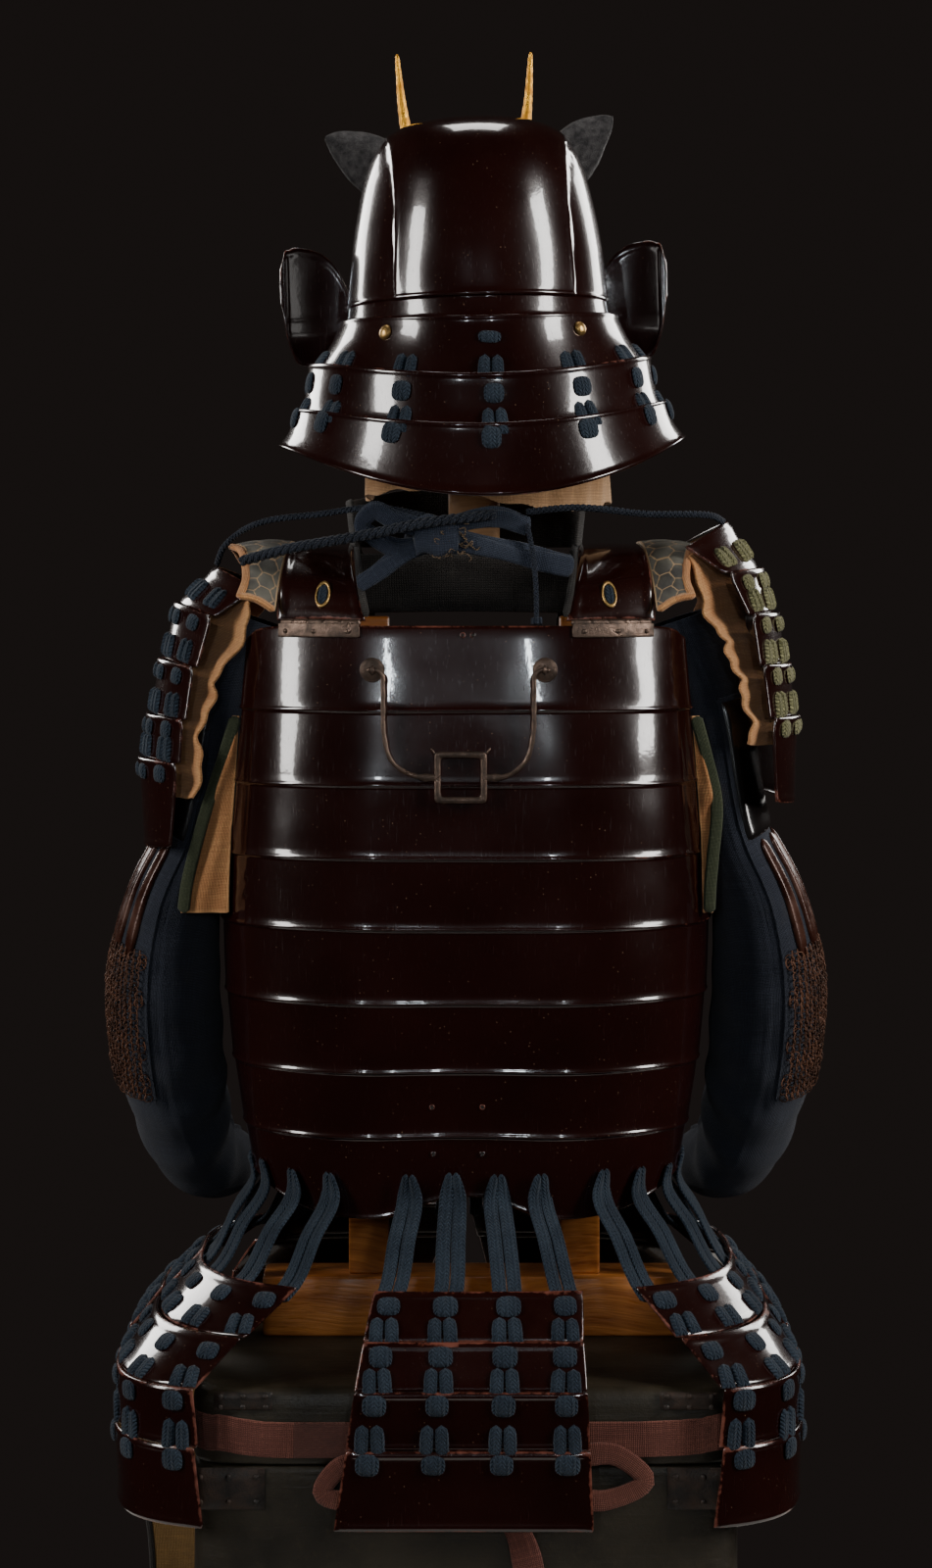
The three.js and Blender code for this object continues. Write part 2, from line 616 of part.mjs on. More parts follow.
// Chest: a box of boards with a lid over it, and raised iron plates at the corners.
const plateAt = (x, z, width, height, face) => bar([width, 3, height], [x, face, z]);
const ironPlates = (z, height, x, width) => [-1, 1].flatMap((side) => [
  plateAt(side * x, z, width, height, -CHEST.depth / 2 + 0.4),
  plateAt(side * x, z, width, height, CHEST.depth / 2 - 0.4),
]);
const lidLow = CHEST.height - CHEST.lid;
const bodyHalf = CHEST.width / 2 - CHEST.lidBoard - GAP;
const bodyDepth = CHEST.depth - 2 * CHEST.lidBoard - 2 * GAP;
const lowHeight = lidLow - 1;
place('chest_body', cutBy(joined(
  bar([CHEST.width, CHEST.depth, lowHeight], [0, 0, lowHeight / 2]),
  bar([bodyHalf * 2, bodyDepth, 60], [0, 0, lidLow + CHEST.lid - CHEST.lidBoard - GAP - 30]),
  ...ironPlates(371.5, 33, 188.5, 57),
  ...ironPlates(40, 50, 190, 54),
), bar([bodyHalf * 2 - 2 * CHEST.board, bodyDepth - 2 * CHEST.board, 600], [0, 0, CHEST.board + 300])),
greenLacquer);
place('chest_lid', cutBy(joined(
  bar([CHEST.width, CHEST.depth, CHEST.lid], [0, 0, lidLow + CHEST.lid / 2]),
  ...ironPlates(441, 14, 177, 46),
), bar([bodyHalf * 2 + 2 * GAP, bodyDepth + 2 * GAP, CHEST.lid], [0, 0, lidLow - CHEST.lidBoard + CHEST.lid / 2])),
greenLacquer);

// Sleeves: hemp tubes that hang from the armholes and bend forward at the elbow.
const SLEEVE = [
  { x: 180, y: 0, z: 1058, across: 32, along: 50 },
  { x: 202, y: 0, z: 990, across: 35, along: 55 },
  { x: 217, y: 0, z: 905, across: 33, along: 58.5 },
  { x: 227, y: 0, z: 868, across: 33, along: 58.5 },
  { x: 248, y: 2, z: 816, across: 38, along: 58.5 },
  { x: 257, y: 8, z: 750, across: 46, along: 61 },
  { x: 254, y: 30, z: 672, across: 45, along: 60 },
  { x: 244, y: 54, z: 617, across: 40, along: 52 },
  { x: 232, y: 92, z: 584, across: 34, along: 43 },
  { x: 214, y: 145, z: 572, across: 28, along: 36 },
];

/** A point of the sleeve: `turn` in degrees, 0 outward from the body and 90 toward the front. */
function sleevePoint(index, turn, out) {
  const row = SLEEVE[index];
  const before = SLEEVE[Math.max(0, index - 1)];
  const after = SLEEVE[Math.min(SLEEVE.length - 1, index + 1)];
  const way = point(after.x - before.x, after.y - before.y, after.z - before.z).normalize();
  const side = point(0, 1, 0).cross(way).negate().normalize();
  const front = side.clone().cross(way).negate().normalize();
  const fold = 1.2 * Math.sin(index * 2.4 + turn * DEGREE * 2);
  return point(row.x, row.y, row.z)
    .addScaledVector(side.x > 0 ? side : side.negate(), (row.across + fold + out) * Math.cos(turn * DEGREE))
    .addScaledVector(front.y + front.z > 0 ? front : front.negate(),
      (row.along + fold + out) * Math.sin(turn * DEGREE));
}

const SLEEVE_SIDES = 14;
const sleeveRings = (out) => SLEEVE.map((_, i) => steps(SLEEVE_SIDES).slice(0, SLEEVE_SIDES)
  .map((t) => sleevePoint(i, t * 360, out)));
const sleeveRight = tubeWall(sleeveRings(0), sleeveRings(-CLOTH));
place('sleeve_right', sleeveRight, blueHemp);
place('sleeve_left', mirrored(sleeveRight), blueHemp);

// Arm guards: plate, splints and mail on the outer side of each sleeve.
const armGrid = (out) => [1, 2, 3, 4, 5, 6].map((i) => [-3, -2, -1, 0, 1, 2, 3]
  .map((k) => sleevePoint(i, (k * 360) / SLEEVE_SIDES, out)));
const armGuard = wall(armGrid(GAP + 3), armGrid(GAP));
place('arm_guard_right', armGuard, roughIron);
place('arm_guard_left', mirrored(armGuard), roughIron);

// Underarm panels close the gap between the back plate and the sleeve.
const UNDERARM_Y = -63;
function underarm(rows) {
  return sheet(rows.map((row) => {
    const rim = torsoPoint(Math.min(70, backReach(row.z)), row.z, LAME_STEP).x + 0.6;
    return steps(4).map((t) => point(mix(rim, row.outer, t),
      UNDERARM_Y - Math.sin(t * 5 + row.z / 30), row.z));
  }), CLOTH);
}
place('underarm_right', underarm([
  { z: 978, outer: 194 },
  { z: 945, outer: 203 },
  { z: 909, outer: 211 },
  { z: 860, outer: 208 },
  { z: 838, outer: 206 },
  { z: 815, outer: 205 },
]), tanHemp);
place('underarm_left', mirrored(underarm([
  { z: 978, outer: 194 },
  { z: 940, outer: 206 },
  { z: 900, outer: 219 },
  { z: 860, outer: 230 },
  { z: 838, outer: 235 },
  { z: 815, outer: 238 },
])), tanHemp);

// Shoulder guards: five curved lames, each laced outside the one above. The rows name the rear edge.
const GUARD_HALF = 75; // half its width, front to back
const GUARD_LEFT = [
  { x: 176, z: 1086, bow: 38, rise: 18 },
  { x: 209, z: 1063.5, bow: 35, rise: 11 },
  { x: 213, z: 1062, bow: 35, rise: 11 },
  { x: 224.5, z: 1020.5, bow: 34, rise: 6 },
  { x: 228, z: 1019, bow: 34, rise: 6 },
  { x: 234, z: 976.5, bow: 35, rise: 3 },
  { x: 237, z: 975, bow: 35, rise: 3 },
  { x: 239, z: 940.5, bow: 37, rise: 2 },
  { x: 242, z: 939, bow: 37, rise: 2 },
  { x: 243, z: 920, bow: 35, rise: 0 },
  { x: 247, z: 871, bow: 28, rise: -4 },
];
const GUARD_RIGHT = [
  { x: 184, z: 1120, bow: 40, rise: 22 },
  { x: 216, z: 1099.5, bow: 33, rise: 4 },
  { x: 220, z: 1098, bow: 33, rise: 4 },
  { x: 236, z: 1064.5, bow: 27, rise: 1 },
  { x: 239.5, z: 1063, bow: 27, rise: 1 },
  { x: 245.5, z: 1022, bow: 28, rise: 0 },
  { x: 248.5, z: 1020.5, bow: 28, rise: 0 },
  { x: 254, z: 978, bow: 27, rise: 0 },
  { x: 257, z: 976.5, bow: 27, rise: 0 },
  { x: 257.5, z: 956, bow: 25, rise: 0 },
  { x: 259.5, z: 908, bow: 21, rise: -4 },
];
const GUARD_COLUMNS = [-1, -0.84, -0.56, -0.34, -0.06, 0.06, 0.34, 0.56, 0.84, 1];
const guardRow = (row, shares, half) => shares.map((share) => point(row.x + row.bow * (1 - share ** 2),
  -half * share, row.z + row.rise * (1 - share ** 2)));

function shoulderGuard(rows) {
  const grid = rows.map((row) => guardRow(row, [...GUARD_COLUMNS].reverse(), GUARD_HALF));
  const inner = movedOut(rows.filter((_, i) => ![2, 4, 6, 8].includes(i))
    .map((row) => guardRow(row, [1, 0.6, 0.2, -0.2, -0.6, -1], GUARD_HALF)), -PLATE - 1);
  return wall(grid, inner, (r, c) => (r % 2 === 0 && c % 2 === 1 ? LACING : 0));
}
place('shoulder_guard_right', shoulderGuard(GUARD_RIGHT), lacquer);
place('shoulder_guard_left', mirrored(shoulderGuard(GUARD_LEFT)), lacquer);

// Linings hang inside the shoulder guards and show a wavy rear edge.
const LINING_LEFT = [
  { x: 177, z: 1079.6, bow: 37, rise: 17 },
  { x: 190, z: 1050, bow: 35, rise: 10 },
  { x: 204, z: 1019, bow: 34, rise: 5 },
  { x: 216, z: 998, bow: 33, rise: 3 },
  { x: 221, z: 972, bow: 33, rise: 2 },
  { x: 227, z: 944, bow: 33, rise: 0 },
  { x: 228, z: 912, bow: 33, rise: 0 },
];
const LINING_RIGHT = [
  { x: 184.3, z: 1111.8, bow: 39, rise: 21 },
  { x: 204, z: 1074, bow: 33, rise: 3 },
  { x: 210, z: 1051, bow: 30, rise: 0 },
  { x: 224, z: 1036, bow: 28, rise: 0 },
  { x: 226, z: 1017, bow: 28, rise: 0 },
  { x: 236, z: 1000, bow: 27, rise: 0 },
  { x: 239, z: 978, bow: 27, rise: 0 },
  { x: 240, z: 955, bow: 27, rise: 0 },
];
const lining = (rows) => sheet(rows.map((row, i) => guardRow(row, [1, 0.7, 0.35, 0, -0.35, -0.7, -1],
  GUARD_HALF - 2 + 2 * Math.sin(i * 2.1))), CLOTH);
place('guard_lining_right', lining(LINING_RIGHT), tanHemp);
place('guard_lining_left', mirrored(lining(LINING_LEFT)), tanHemp);

// Shoulder pads of quilted leather carry on outward from the straps.
const PAD = [
  { y: -99, z: 1067, inner: 158, outer: 186, rise: 12 },
  { y: -84, z: 1089, inner: 155.8, outer: 182, rise: 6 },
  { y: -58, z: 1112, inner: 151.8, outer: 187, rise: 3 },
  { y: -20, z: 1122, inner: 149.8, outer: 198, rise: -2 },
  { y: 22, z: 1122, inner: 147.3, outer: 198, rise: -5 },
  { y: 60, z: 1106, inner: 140.8, outer: 190, rise: -4 },
  { y: 78, z: 1090, inner: 135.8, outer: 168, rise: 0 },
];
const padGrid = PAD.map((row) => steps(6).map((t) => point(mix(row.outer, row.inner, t), row.y,
  row.z + row.rise * (1 - t) + 3 * Math.sin(t * Math.PI))));
const pad = sheet(padGrid, 3);
place('shoulder_pad_right', pad, greyLeather);
place('shoulder_pad_left', mirrored(pad), greyLeather);

// Skirt: seven hanging tassets on rings that widen from the hem of the cuirass to the lowest lames.
const SKIRT = [
  { z: 346, half: 281, deep: 217, power: 5, width: 202, shift: -6 },
  { z: 409, half: 281, deep: 216, power: 5, width: 190, shift: -6 },
  { z: 456, half: 279, deep: 214, power: 5, width: 181, shift: -6 },
  { z: 490, half: 252, deep: 194, power: 3.6, width: 173, shift: -4 },
  { z: 523, half: 222, deep: 169, power: 2.8, width: 166, shift: 0 },
  { z: 545, half: 207, deep: 151, power: 2.6, width: 166, shift: 0 },
];
const TASSETS = [
  { name: 'tasset_1', at: 0.0075, skew: -3 },
  { name: 'tasset_2', at: 0.168, skew: 1 },
  { name: 'tasset_3', at: 0.302, skew: 0 },
  { name: 'tasset_4', at: 0.434, skew: 0 },
  { name: 'tasset_5', at: 0.566, skew: 0 },
  { name: 'tasset_6', at: 0.698, skew: 0 },
  { name: 'tasset_7', at: 0.832, skew: -1 },
];

/** A ring of the skirt, measured by length from the middle of the back toward the right. */
function skirtRing(z, out) {
  const row = readTable(SKIRT, 'z', z);
  const spots = steps(120).map((t) => {
    const turn = t * 2 * Math.PI;
    return point(row.shift + (row.half + out) * signedPower(Math.sin(turn), 2 / row.power),
      -(row.deep + out) * signedPower(Math.cos(turn), 2 / row.power), z);
  });
  const lengths = [0];
  for (let i = 1; i < spots.length; i += 1) {
    lengths.push(lengths[i - 1] + spots[i].distanceTo(spots[i - 1]));
  }
  const around = lengths[lengths.length - 1];
  return { around, width: row.width, at: (length) => {
    const goal = ((length % around) + around) % around;
    let i = 1;
    while (i < lengths.length - 1 && lengths[i] < goal) i += 1;
    return spots[i - 1].clone().lerp(spots[i], (goal - lengths[i - 1]) / (lengths[i] - lengths[i - 1]));
  } };
}

// Each lame's upper edge stands over the lower edge of the one above.
const TASSET_ROWS = [
  { z: 523, out: 2 },
  { z: 491, out: 0 },
  { z: 489, out: 2.6 },
  { z: 456, out: 0 },
  { z: 454, out: 2.6 },
  { z: 410, out: 0 },
  { z: 408, out: 2.6 },
  { z: 346, out: 0 },
];
const TASSET_COLUMNS = [-1, -0.86, -0.64, -0.4, -0.18, 0.18, 0.4, 0.64, 0.86, 1];

function tassetGrid({ at, skew }, rows, columns, out) {
  return rows.map((row) => {
    const ring = skirtRing(row.z, row.out + out);
    const lean = (523 - row.z) * Math.tan(skew * DEGREE);
    return columns.map((share) => ring.at(at * ring.around + lean + share * ring.width / 2));
  });
}

/** A wall over the cells of two equal grids that are present, closed round every open one. */
function openWall(outer, inner, present) {
  const skin = new Skin();
  const out = outer.map((row) => skin.row(row));
  const back = inner.map((row) => skin.row(row));
  const here = (r, c) => r >= 0 && c >= 0 && r < out.length - 1 && c < out[0].length - 1 && present(r, c);
  for (let r = 0; r < out.length - 1; r += 1) {
    for (let c = 0; c < out[0].length - 1; c += 1) {
      if (!present(r, c)) continue;
      const corners = [[r, c], [r, c + 1], [r + 1, c + 1], [r + 1, c]];
      const beyond = [[r - 1, c], [r, c + 1], [r + 1, c], [r, c - 1]];
      skin.quad(...corners.map(([i, j]) => out[i][j]));
      skin.quad(...[...corners].reverse().map(([i, j]) => back[i][j]));
      for (let k = 0; k < 4; k += 1) {
        const [[i, j], [m, n]] = [corners[k], corners[(k + 1) % 4]];
        if (!here(...beyond[k])) skin.quad(out[m][n], out[i][j], back[i][j], back[m][n]);
      }
    }
  }
  return skin.geometry();
}

// The lacing of each tasset: four flat pairs of cords, joined behind the tasset's upper edge.
const LACE_SHARES = [-0.86, -0.58, -0.43, -0.15, 0.15, 0.43, 0.58, 0.86];
const LACE_HEIGHTS = [612, 590, 556, 523.2, 514];
const hemRing = (at, z, out) => {
  const angles = steps(180).map((t) => t * 360);
  const spots = angles.map((angle) => torsoPoint(angle, z, out));
  const lengths = [0];
  for (let i = 1; i < spots.length; i += 1) lengths.push(lengths[i - 1] + spots[i].distanceTo(spots[i - 1]));
  const goal = (((at % 1) + 1) % 1) * lengths[180];
  let i = 1;
  while (i < 180 && lengths[i] < goal) i += 1;
  return spots[i - 1].clone().lerp(spots[i], (goal - lengths[i - 1]) / (lengths[i] - lengths[i - 1]));
};

function laceGrid({ at }, out) {
  const top = skirtRing(523, 0);
  return LACE_HEIGHTS.map((z, r) => LACE_SHARES.map((share) => {
    const spot = at + share * top.width / 2 / top.around;
    const high = hemRing(spot, Math.max(z, 590), (r === 0 ? 1.6 : LAME_STEP + 0.6) + out);
    const ring = skirtRing(Math.min(z, 523), out - PLATE - 4.25);
    const low = ring.at(spot * ring.around);
    const t = [0, 0.06, 0.55, 1, 1][r];
    return point(mix(high.x, low.x, t), mix(high.y, low.y, t), z);
  }));
}

TASSETS.forEach((tasset, i) => {
  const outer = tassetGrid(tasset, TASSET_ROWS, TASSET_COLUMNS, 0);
  const plain = TASSET_ROWS.filter((_, r) => [0, 2, 4, 6, 7].includes(r)).map((row) => ({ z: row.z, out: 0 }));
  const inner = tassetGrid(tasset, plain, [-1, -0.7, -0.4, -0.13, 0.13, 0.4, 0.7, 1], -PLATE - 0.8);
  place(tasset.name, wall(outer, inner,
    (r, c) => (r % 2 === 0 && c % 2 === 1 ? LACING : 0), 0.16), lacquer);
  place(`lacing_${i + 1}`, openWall(laceGrid(tasset, 1.6), laceGrid(tasset, 0),
    (r, c) => r === LACE_HEIGHTS.length - 2 || c % 2 === 0), blueCord);
});

// Sash: a band of hemp round the lid, with a bow behind. It is the tie of the thigh guard.
const BAND = { low: 396, high: 430, out: GAP, power: 34 };
const bandRing = (z, out) => {
  const [half, deep] = [CHEST.width / 2 + out, CHEST.depth / 2 + out];
  const corner = 1;
  return [[1, -1], [1, 1], [-1, 1], [-1, -1]].flatMap(([x, y], i) => [0, 30, 60, 90].map((turn) => {
    const angle = (i * 90 - 90 + turn) * DEGREE;
    return point(x * (half - corner) + corner * Math.cos(angle), y * (deep - corner) + corner * Math.sin(angle), z);
  }));
};
const bandRings = (out) => [BAND.low, (BAND.low + BAND.high) / 2, BAND.high]
  .map((z, i) => bandRing(z, out + (i === 1 ? 0.4 : 0)));
const band = tubeWall(bandRings(BAND.out + 2), bandRings(BAND.out).map((ring, i) => (i === 1
  ? bandRing((BAND.low + BAND.high) / 2, BAND.out) : ring)));

const flat = (path, wide, thick, stations) => strap(path, (t) => wide * (t < 0.01 || t > 0.99 ? 0.8 : 1),
  (t) => thick * (t < 0.01 || t > 0.99 ? 0.6 : 1), point(0, 1, 0), 6, stations);
place('sash', joined(
  band,
  flat([point(8, -195, 402), point(70, -195, 396), point(122, -194.6, 398), point(142, -194.6, 380),
    point(112, -194.6, 364), point(60, -195, 374), point(8, -195, 384)], 10, 2.2, 10),
  flat([point(-4, -195, 402), point(-62, -195, 392), point(-102, -194.6, 388), point(-114, -194.6, 370),
    point(-84, -194.6, 362), point(-40, -195, 374), point(-2, -195, 384)], 10, 2.2, 10),
  flat([point(10, -196, 398), point(26, -195.6, 362), point(42, -194, 336), point(52, -193.4, 300)], 14, 2, 5),
  flat([point(-20, -195, 404), point(22, -195, 402)], 14, 3.4, 2),
), redHemp);

// Thigh guard: an apron of lined cloth that hangs from the sash in front of the chest.
const APRON = [
  { z: 414, left: -262, right: 214, out: 0, wave: 0 },
  { z: 358, left: -286, right: 226, out: 1, wave: 0.5 },
  { z: 304, left: -309, right: 240, out: 6, wave: 4 },
  { z: 216, left: -292, right: 246, out: 9, wave: 6 },
  { z: 130, left: -288, right: 244, out: 10, wave: 6 },
  { z: 27, left: -284, right: 240, out: 10, wave: 7 },
];
const apronGrid = APRON.map((row) => steps(12).map((t) => point(
  mix(row.right, row.left, t),
  CHEST.depth / 2 + BAND.out + 2.8 + CLOTH + 0.4 + row.out + row.wave * Math.sin(t * 17 + row.z / 160),
  row.z)));
place('thigh_guard', sheet(apronGrid, CLOTH), tanHemp);

// Standing collar at the throat, on the shoulder straps and open behind.
const COLLAR = { half: 103, deep: 92, low: 1121.5, high: 1166 };
place('throat_guard', sheet([COLLAR.high, 1145, COLLAR.low].map((z, i) => steps(18).map((t) => {
  const angle = (72 + 216 * t) * DEGREE;
  const dip = i === 0 ? 8 * Math.cos(2 * angle) : 0;
  return point((COLLAR.half - 2 * i) * Math.sin(angle), -(COLLAR.deep - 2 * i) * Math.cos(angle), z + dip);
})), 3), finish('#151417', 0.9));

// Cords from the knot at the nape to the shoulder guards, and one that hangs down the back.
place('cord_left_upper', cord([point(-212, -14, 1105.6), point(-206, -27, 1118.5), point(-192, -42, 1131), point(-172, -64, 1140),
  point(-120, -84, 1147), point(-72, -99, 1152), point(-34, -111, 1145.3)], 2.8, 8), blueCord);
place('cord_left_lower', cord([point(-186, -84, 1108), point(-151, -104, 1117), point(-84, -118.2, 1129),
  point(-34, -125, 1139), point(24, -119.3, 1146.2)], 4.5, 8), blueCord);
place('cord_right', cord([point(217.4, -30, 1141.6), point(206, -58, 1146), point(148.6, -88, 1147),
  point(88, -104, 1152), point(50, -113, 1148.2)], 3, 8), blueCord);
place('cord_hanging', cord([point(50, -118.2, 1138), point(54, -117.4, 1118), point(57, -119, 1090),
  point(57.7, -121, 1059)], 2.2, 6), blueCord);

// The knot itself is of folded strips of cloth, and one strip goes over the padded bar.
place('nape_knot', joined(
  flat([point(-30, -112, 1132), point(-58, -110, 1142), point(-76, -108, 1150), point(-74, -108, 1128),
    point(-56, -109, 1118), point(-28, -112, 1124)], 8, 3.5, 9),
  flat([point(-26, -114, 1130), point(10, -114, 1122), point(50, -112, 1112), point(88, -110, 1104)], 9, 3, 5),
  flat([point(-26, -112, 1134), point(8, -112, 1142), point(30, -112, 1144), point(52, -113, 1136)], 8, 3, 5),
  flat([point(-30, -112, 1124), point(-60, -110, 1108), point(-88, -108, 1088)], 7, 2.5, 4),
  flat([point(-42, -113, 1128), point(-6, -114, 1128)], 17, 7, 2),
  strap([point(-34, -112, 1134), point(-40, -70, 1136), point(-44, -24, 1124), point(-44, 6, 1120.2)],
    () => 9, () => 2.5, point(0, 0, 1), 6, 6),
), blueCord);

// The origin is under the middle of the whole set, at floor level.
const bounds = new THREE.Box3().setFromObject(armour);
const middle = bounds.getCenter(new THREE.Vector3());
armour.children.forEach((mesh) => mesh.geometry.translate(-middle.x, -middle.y, -bounds.min.z));

export default armour;
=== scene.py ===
# %% [markdown]
# # Samurai armour on its stand, seen from behind
# The armour stands on a wooden stand, and the stand on the lid of its chest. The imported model
# gives the frame: every new piece is worked out in the same millimetres and put in its place,
# so nothing has to be fitted by hand.

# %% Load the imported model
import bpy
import numpy as np
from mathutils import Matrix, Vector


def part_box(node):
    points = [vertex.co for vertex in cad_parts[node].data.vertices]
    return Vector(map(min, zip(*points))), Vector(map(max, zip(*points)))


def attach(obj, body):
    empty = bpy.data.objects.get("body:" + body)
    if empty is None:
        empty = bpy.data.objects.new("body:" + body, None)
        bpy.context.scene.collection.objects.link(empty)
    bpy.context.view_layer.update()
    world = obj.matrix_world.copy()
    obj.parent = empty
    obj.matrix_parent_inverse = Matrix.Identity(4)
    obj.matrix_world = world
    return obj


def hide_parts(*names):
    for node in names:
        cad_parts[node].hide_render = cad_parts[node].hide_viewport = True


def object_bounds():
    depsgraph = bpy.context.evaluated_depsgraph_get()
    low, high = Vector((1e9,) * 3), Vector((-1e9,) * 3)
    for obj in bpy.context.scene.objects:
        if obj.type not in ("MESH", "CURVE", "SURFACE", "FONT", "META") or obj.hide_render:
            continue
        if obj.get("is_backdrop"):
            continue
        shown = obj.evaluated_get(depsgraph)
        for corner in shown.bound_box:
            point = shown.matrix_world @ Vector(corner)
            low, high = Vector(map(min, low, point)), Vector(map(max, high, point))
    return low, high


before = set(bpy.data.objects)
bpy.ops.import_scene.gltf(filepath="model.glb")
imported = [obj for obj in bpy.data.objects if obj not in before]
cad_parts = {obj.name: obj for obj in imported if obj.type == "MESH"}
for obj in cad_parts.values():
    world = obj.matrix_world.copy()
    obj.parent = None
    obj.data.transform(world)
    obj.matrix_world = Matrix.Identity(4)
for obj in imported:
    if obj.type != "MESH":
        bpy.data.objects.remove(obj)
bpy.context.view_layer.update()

lid_low, lid_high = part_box("chest_lid")
SHIFT = np.array([(lid_low[0] + lid_high[0]) * 500, (lid_low[1] + lid_high[1]) * 500, 0.0])
print("nodes", len(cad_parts), "shift of the drawing in mm", SHIFT.round(2))

# %% [markdown]
# ## The camera
# The photograph was taken level, at the height of the neck. A 70 mm lens with a small downward
# shift keeps upright lines upright, which a tilted camera wouldn't.

# %% Camera
camera_data = bpy.data.cameras.new("camera")
camera_data.lens = 70
camera_data.sensor_width = 36
camera_data.shift_y = -0.1375
camera = bpy.data.objects.new("camera", camera_data)
camera.location = ((SHIFT + [0, -2610, 1102]) / 1000).tolist()
camera.rotation_euler = (np.pi / 2, 0, 0)
bpy.context.scene.collection.objects.link(camera)
bpy.context.scene.camera = camera

# %% [markdown]
# ## Grids of points
# A plate, a cloth or a strap is one grid of points: rows run down it and columns run to the
# right, as seen from outside. The cross product of the two directions then points outward.
# Giving the wall a thickness by hand, with a half-round rim, shows the worn bright edge that
# real lacquered plates have. A solidify modifier would leave a square one.

# %% Grid helpers
def steps(count, start=0.0, end=1.0):
    return np.linspace(start, end, count)


def power(value, exponent):
    return np.sign(value) * np.abs(value) ** exponent


def read(rows, at):
    """A smooth curve through a table: between two rows a cubic whose slopes are the mean slopes
    of the neighbouring rows. The first number of each row is the key."""
    rows = np.array(rows, float)
    rows = rows[np.argsort(rows[:, 0])]
    keys, values = rows[:, 0], rows[:, 1:]
    slopes = np.gradient(values, keys, axis=0)
    at = np.clip(np.asarray(at, float), keys[0], keys[-1])
    i = np.clip(np.searchsorted(keys, at) - 1, 0, len(keys) - 2)
    gap = keys[i + 1] - keys[i]
    t = ((at - keys[i]) / gap)[..., None]
    gap = gap[..., None]
    curve = ((2 * t ** 3 - 3 * t ** 2 + 1) * values[i] + (t ** 3 - 2 * t ** 2 + t) * gap * slopes[i]
             + (3 * t ** 2 - 2 * t ** 3) * values[i + 1] + (t ** 3 - t ** 2) * gap * slopes[i + 1])
    return np.moveaxis(curve, -1, 0)


def unit(vectors):
    return vectors / (np.linalg.norm(vectors, axis=-1, keepdims=True) + 1e-9)


def outward(grid, closed=False):
    """Unit normals of a grid: the cross product of its downward and its rightward direction."""
    down = np.gradient(grid, axis=0)
    if closed:
        right = np.roll(grid, -1, axis=1) - np.roll(grid, 1, axis=1)
    else:
        right = np.gradient(grid, axis=1)
    return unit(np.cross(down, right))


def measured(grid):
    """How far each point lies along its row and down its column, in millimetres, counted from
    the middle row and the middle column."""
    right = np.linalg.norm(np.diff(grid, axis=1), axis=2)
    down = np.linalg.norm(np.diff(grid, axis=0), axis=2)
    u = np.concatenate([np.zeros((len(grid), 1)), np.cumsum(right, axis=1)], axis=1)
    v = np.concatenate([np.zeros((1, grid.shape[1])), np.cumsum(down, axis=0)], axis=0)
    return np.stack([u - u[:, [grid.shape[1] // 2]], -v + v[[len(grid) // 2]]], axis=-1)


# %% [markdown]
# ## Parts of a piece
# A piece often holds several small forms, such as a plate and its rivets. Each form is kept as
# points, faces, a flat map in millimetres for the weave, and a value from 0 to 1 that says how
# worn it is there. Joining the lists first makes one mesh of them.

# %% Forms and pieces
def form(points, faces, flat=None, worn=None):
    points = np.asarray(points, float).reshape(-1, 3)
    flat = np.zeros((len(points), 2)) if flat is None else np.asarray(flat, float).reshape(-1, 2)
    worn = np.zeros(len(points)) if worn is None else np.asarray(worn, float).reshape(-1)
    return points, [np.asarray(f) for f in faces], flat, worn


def joined(*forms):
    """One form of several: each list of faces is moved on by the number of points before it."""
    start = np.cumsum([0] + [len(f[0]) for f in forms])
    faces = [part + start[i] for i, f in enumerate(forms) for part in f[1]]
    return (np.concatenate([f[0] for f in forms]), faces,
            np.concatenate([f[2] for f in forms]), np.concatenate([f[3] for f in forms]))


def mirrored(made):
    """The same form on the other side: X changes its sign and every face turns round."""
    points, faces, flat, worn = made
    return points * [-1, 1, 1], [f[:, ::-1] for f in faces], flat * [-1, 1], worn


def piece(name, made, material, stands_for=(), body="root"):
    """A Blender object from a form, in metres, with its flat map and its wear as an attribute."""
    points, faces, flat, worn = made
    mesh = bpy.data.meshes.new(name)
    mesh.from_pydata(((points + SHIFT) / 1000).tolist(), [], [f for part in faces for f in part.tolist()])
    corner = np.zeros(len(mesh.loops), int)
    mesh.loops.foreach_get("vertex_index", corner)
    layer = mesh.uv_layers.new(name="flat")
    layer.data.foreach_set("uv", (flat[corner] / 1000).ravel())
    attribute = mesh.attributes.new("worn", "FLOAT", "POINT")
    attribute.data.foreach_set("value", worn)
    mesh.polygons.foreach_set("use_smooth", np.ones(len(mesh.polygons), bool))
    mesh.materials.append(material)
    made_object = bpy.data.objects.new(name, mesh)
    bpy.context.scene.collection.objects.link(made_object)
    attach(made_object, body)
    if stands_for:
        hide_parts(*stands_for)
    print(f"{name}: {len(points)} points")
    return made_object


def quads(rows, columns, closed=False):
    """The four-sided faces of a grid, each wound anticlockwise as seen from outside."""
    r, c = np.meshgrid(np.arange(rows - 1), np.arange(columns if closed else columns - 1), indexing="ij")
    n = (c + 1) % columns
    return np.stack([r * columns + c, (r + 1) * columns + c, (r + 1) * columns + n, r * columns + n],
                    axis=-1).reshape(-1, 4)


RIM = np.radians([30, 60, 90, 120, 150])  # the rim's half circle, from the outer side to the inner


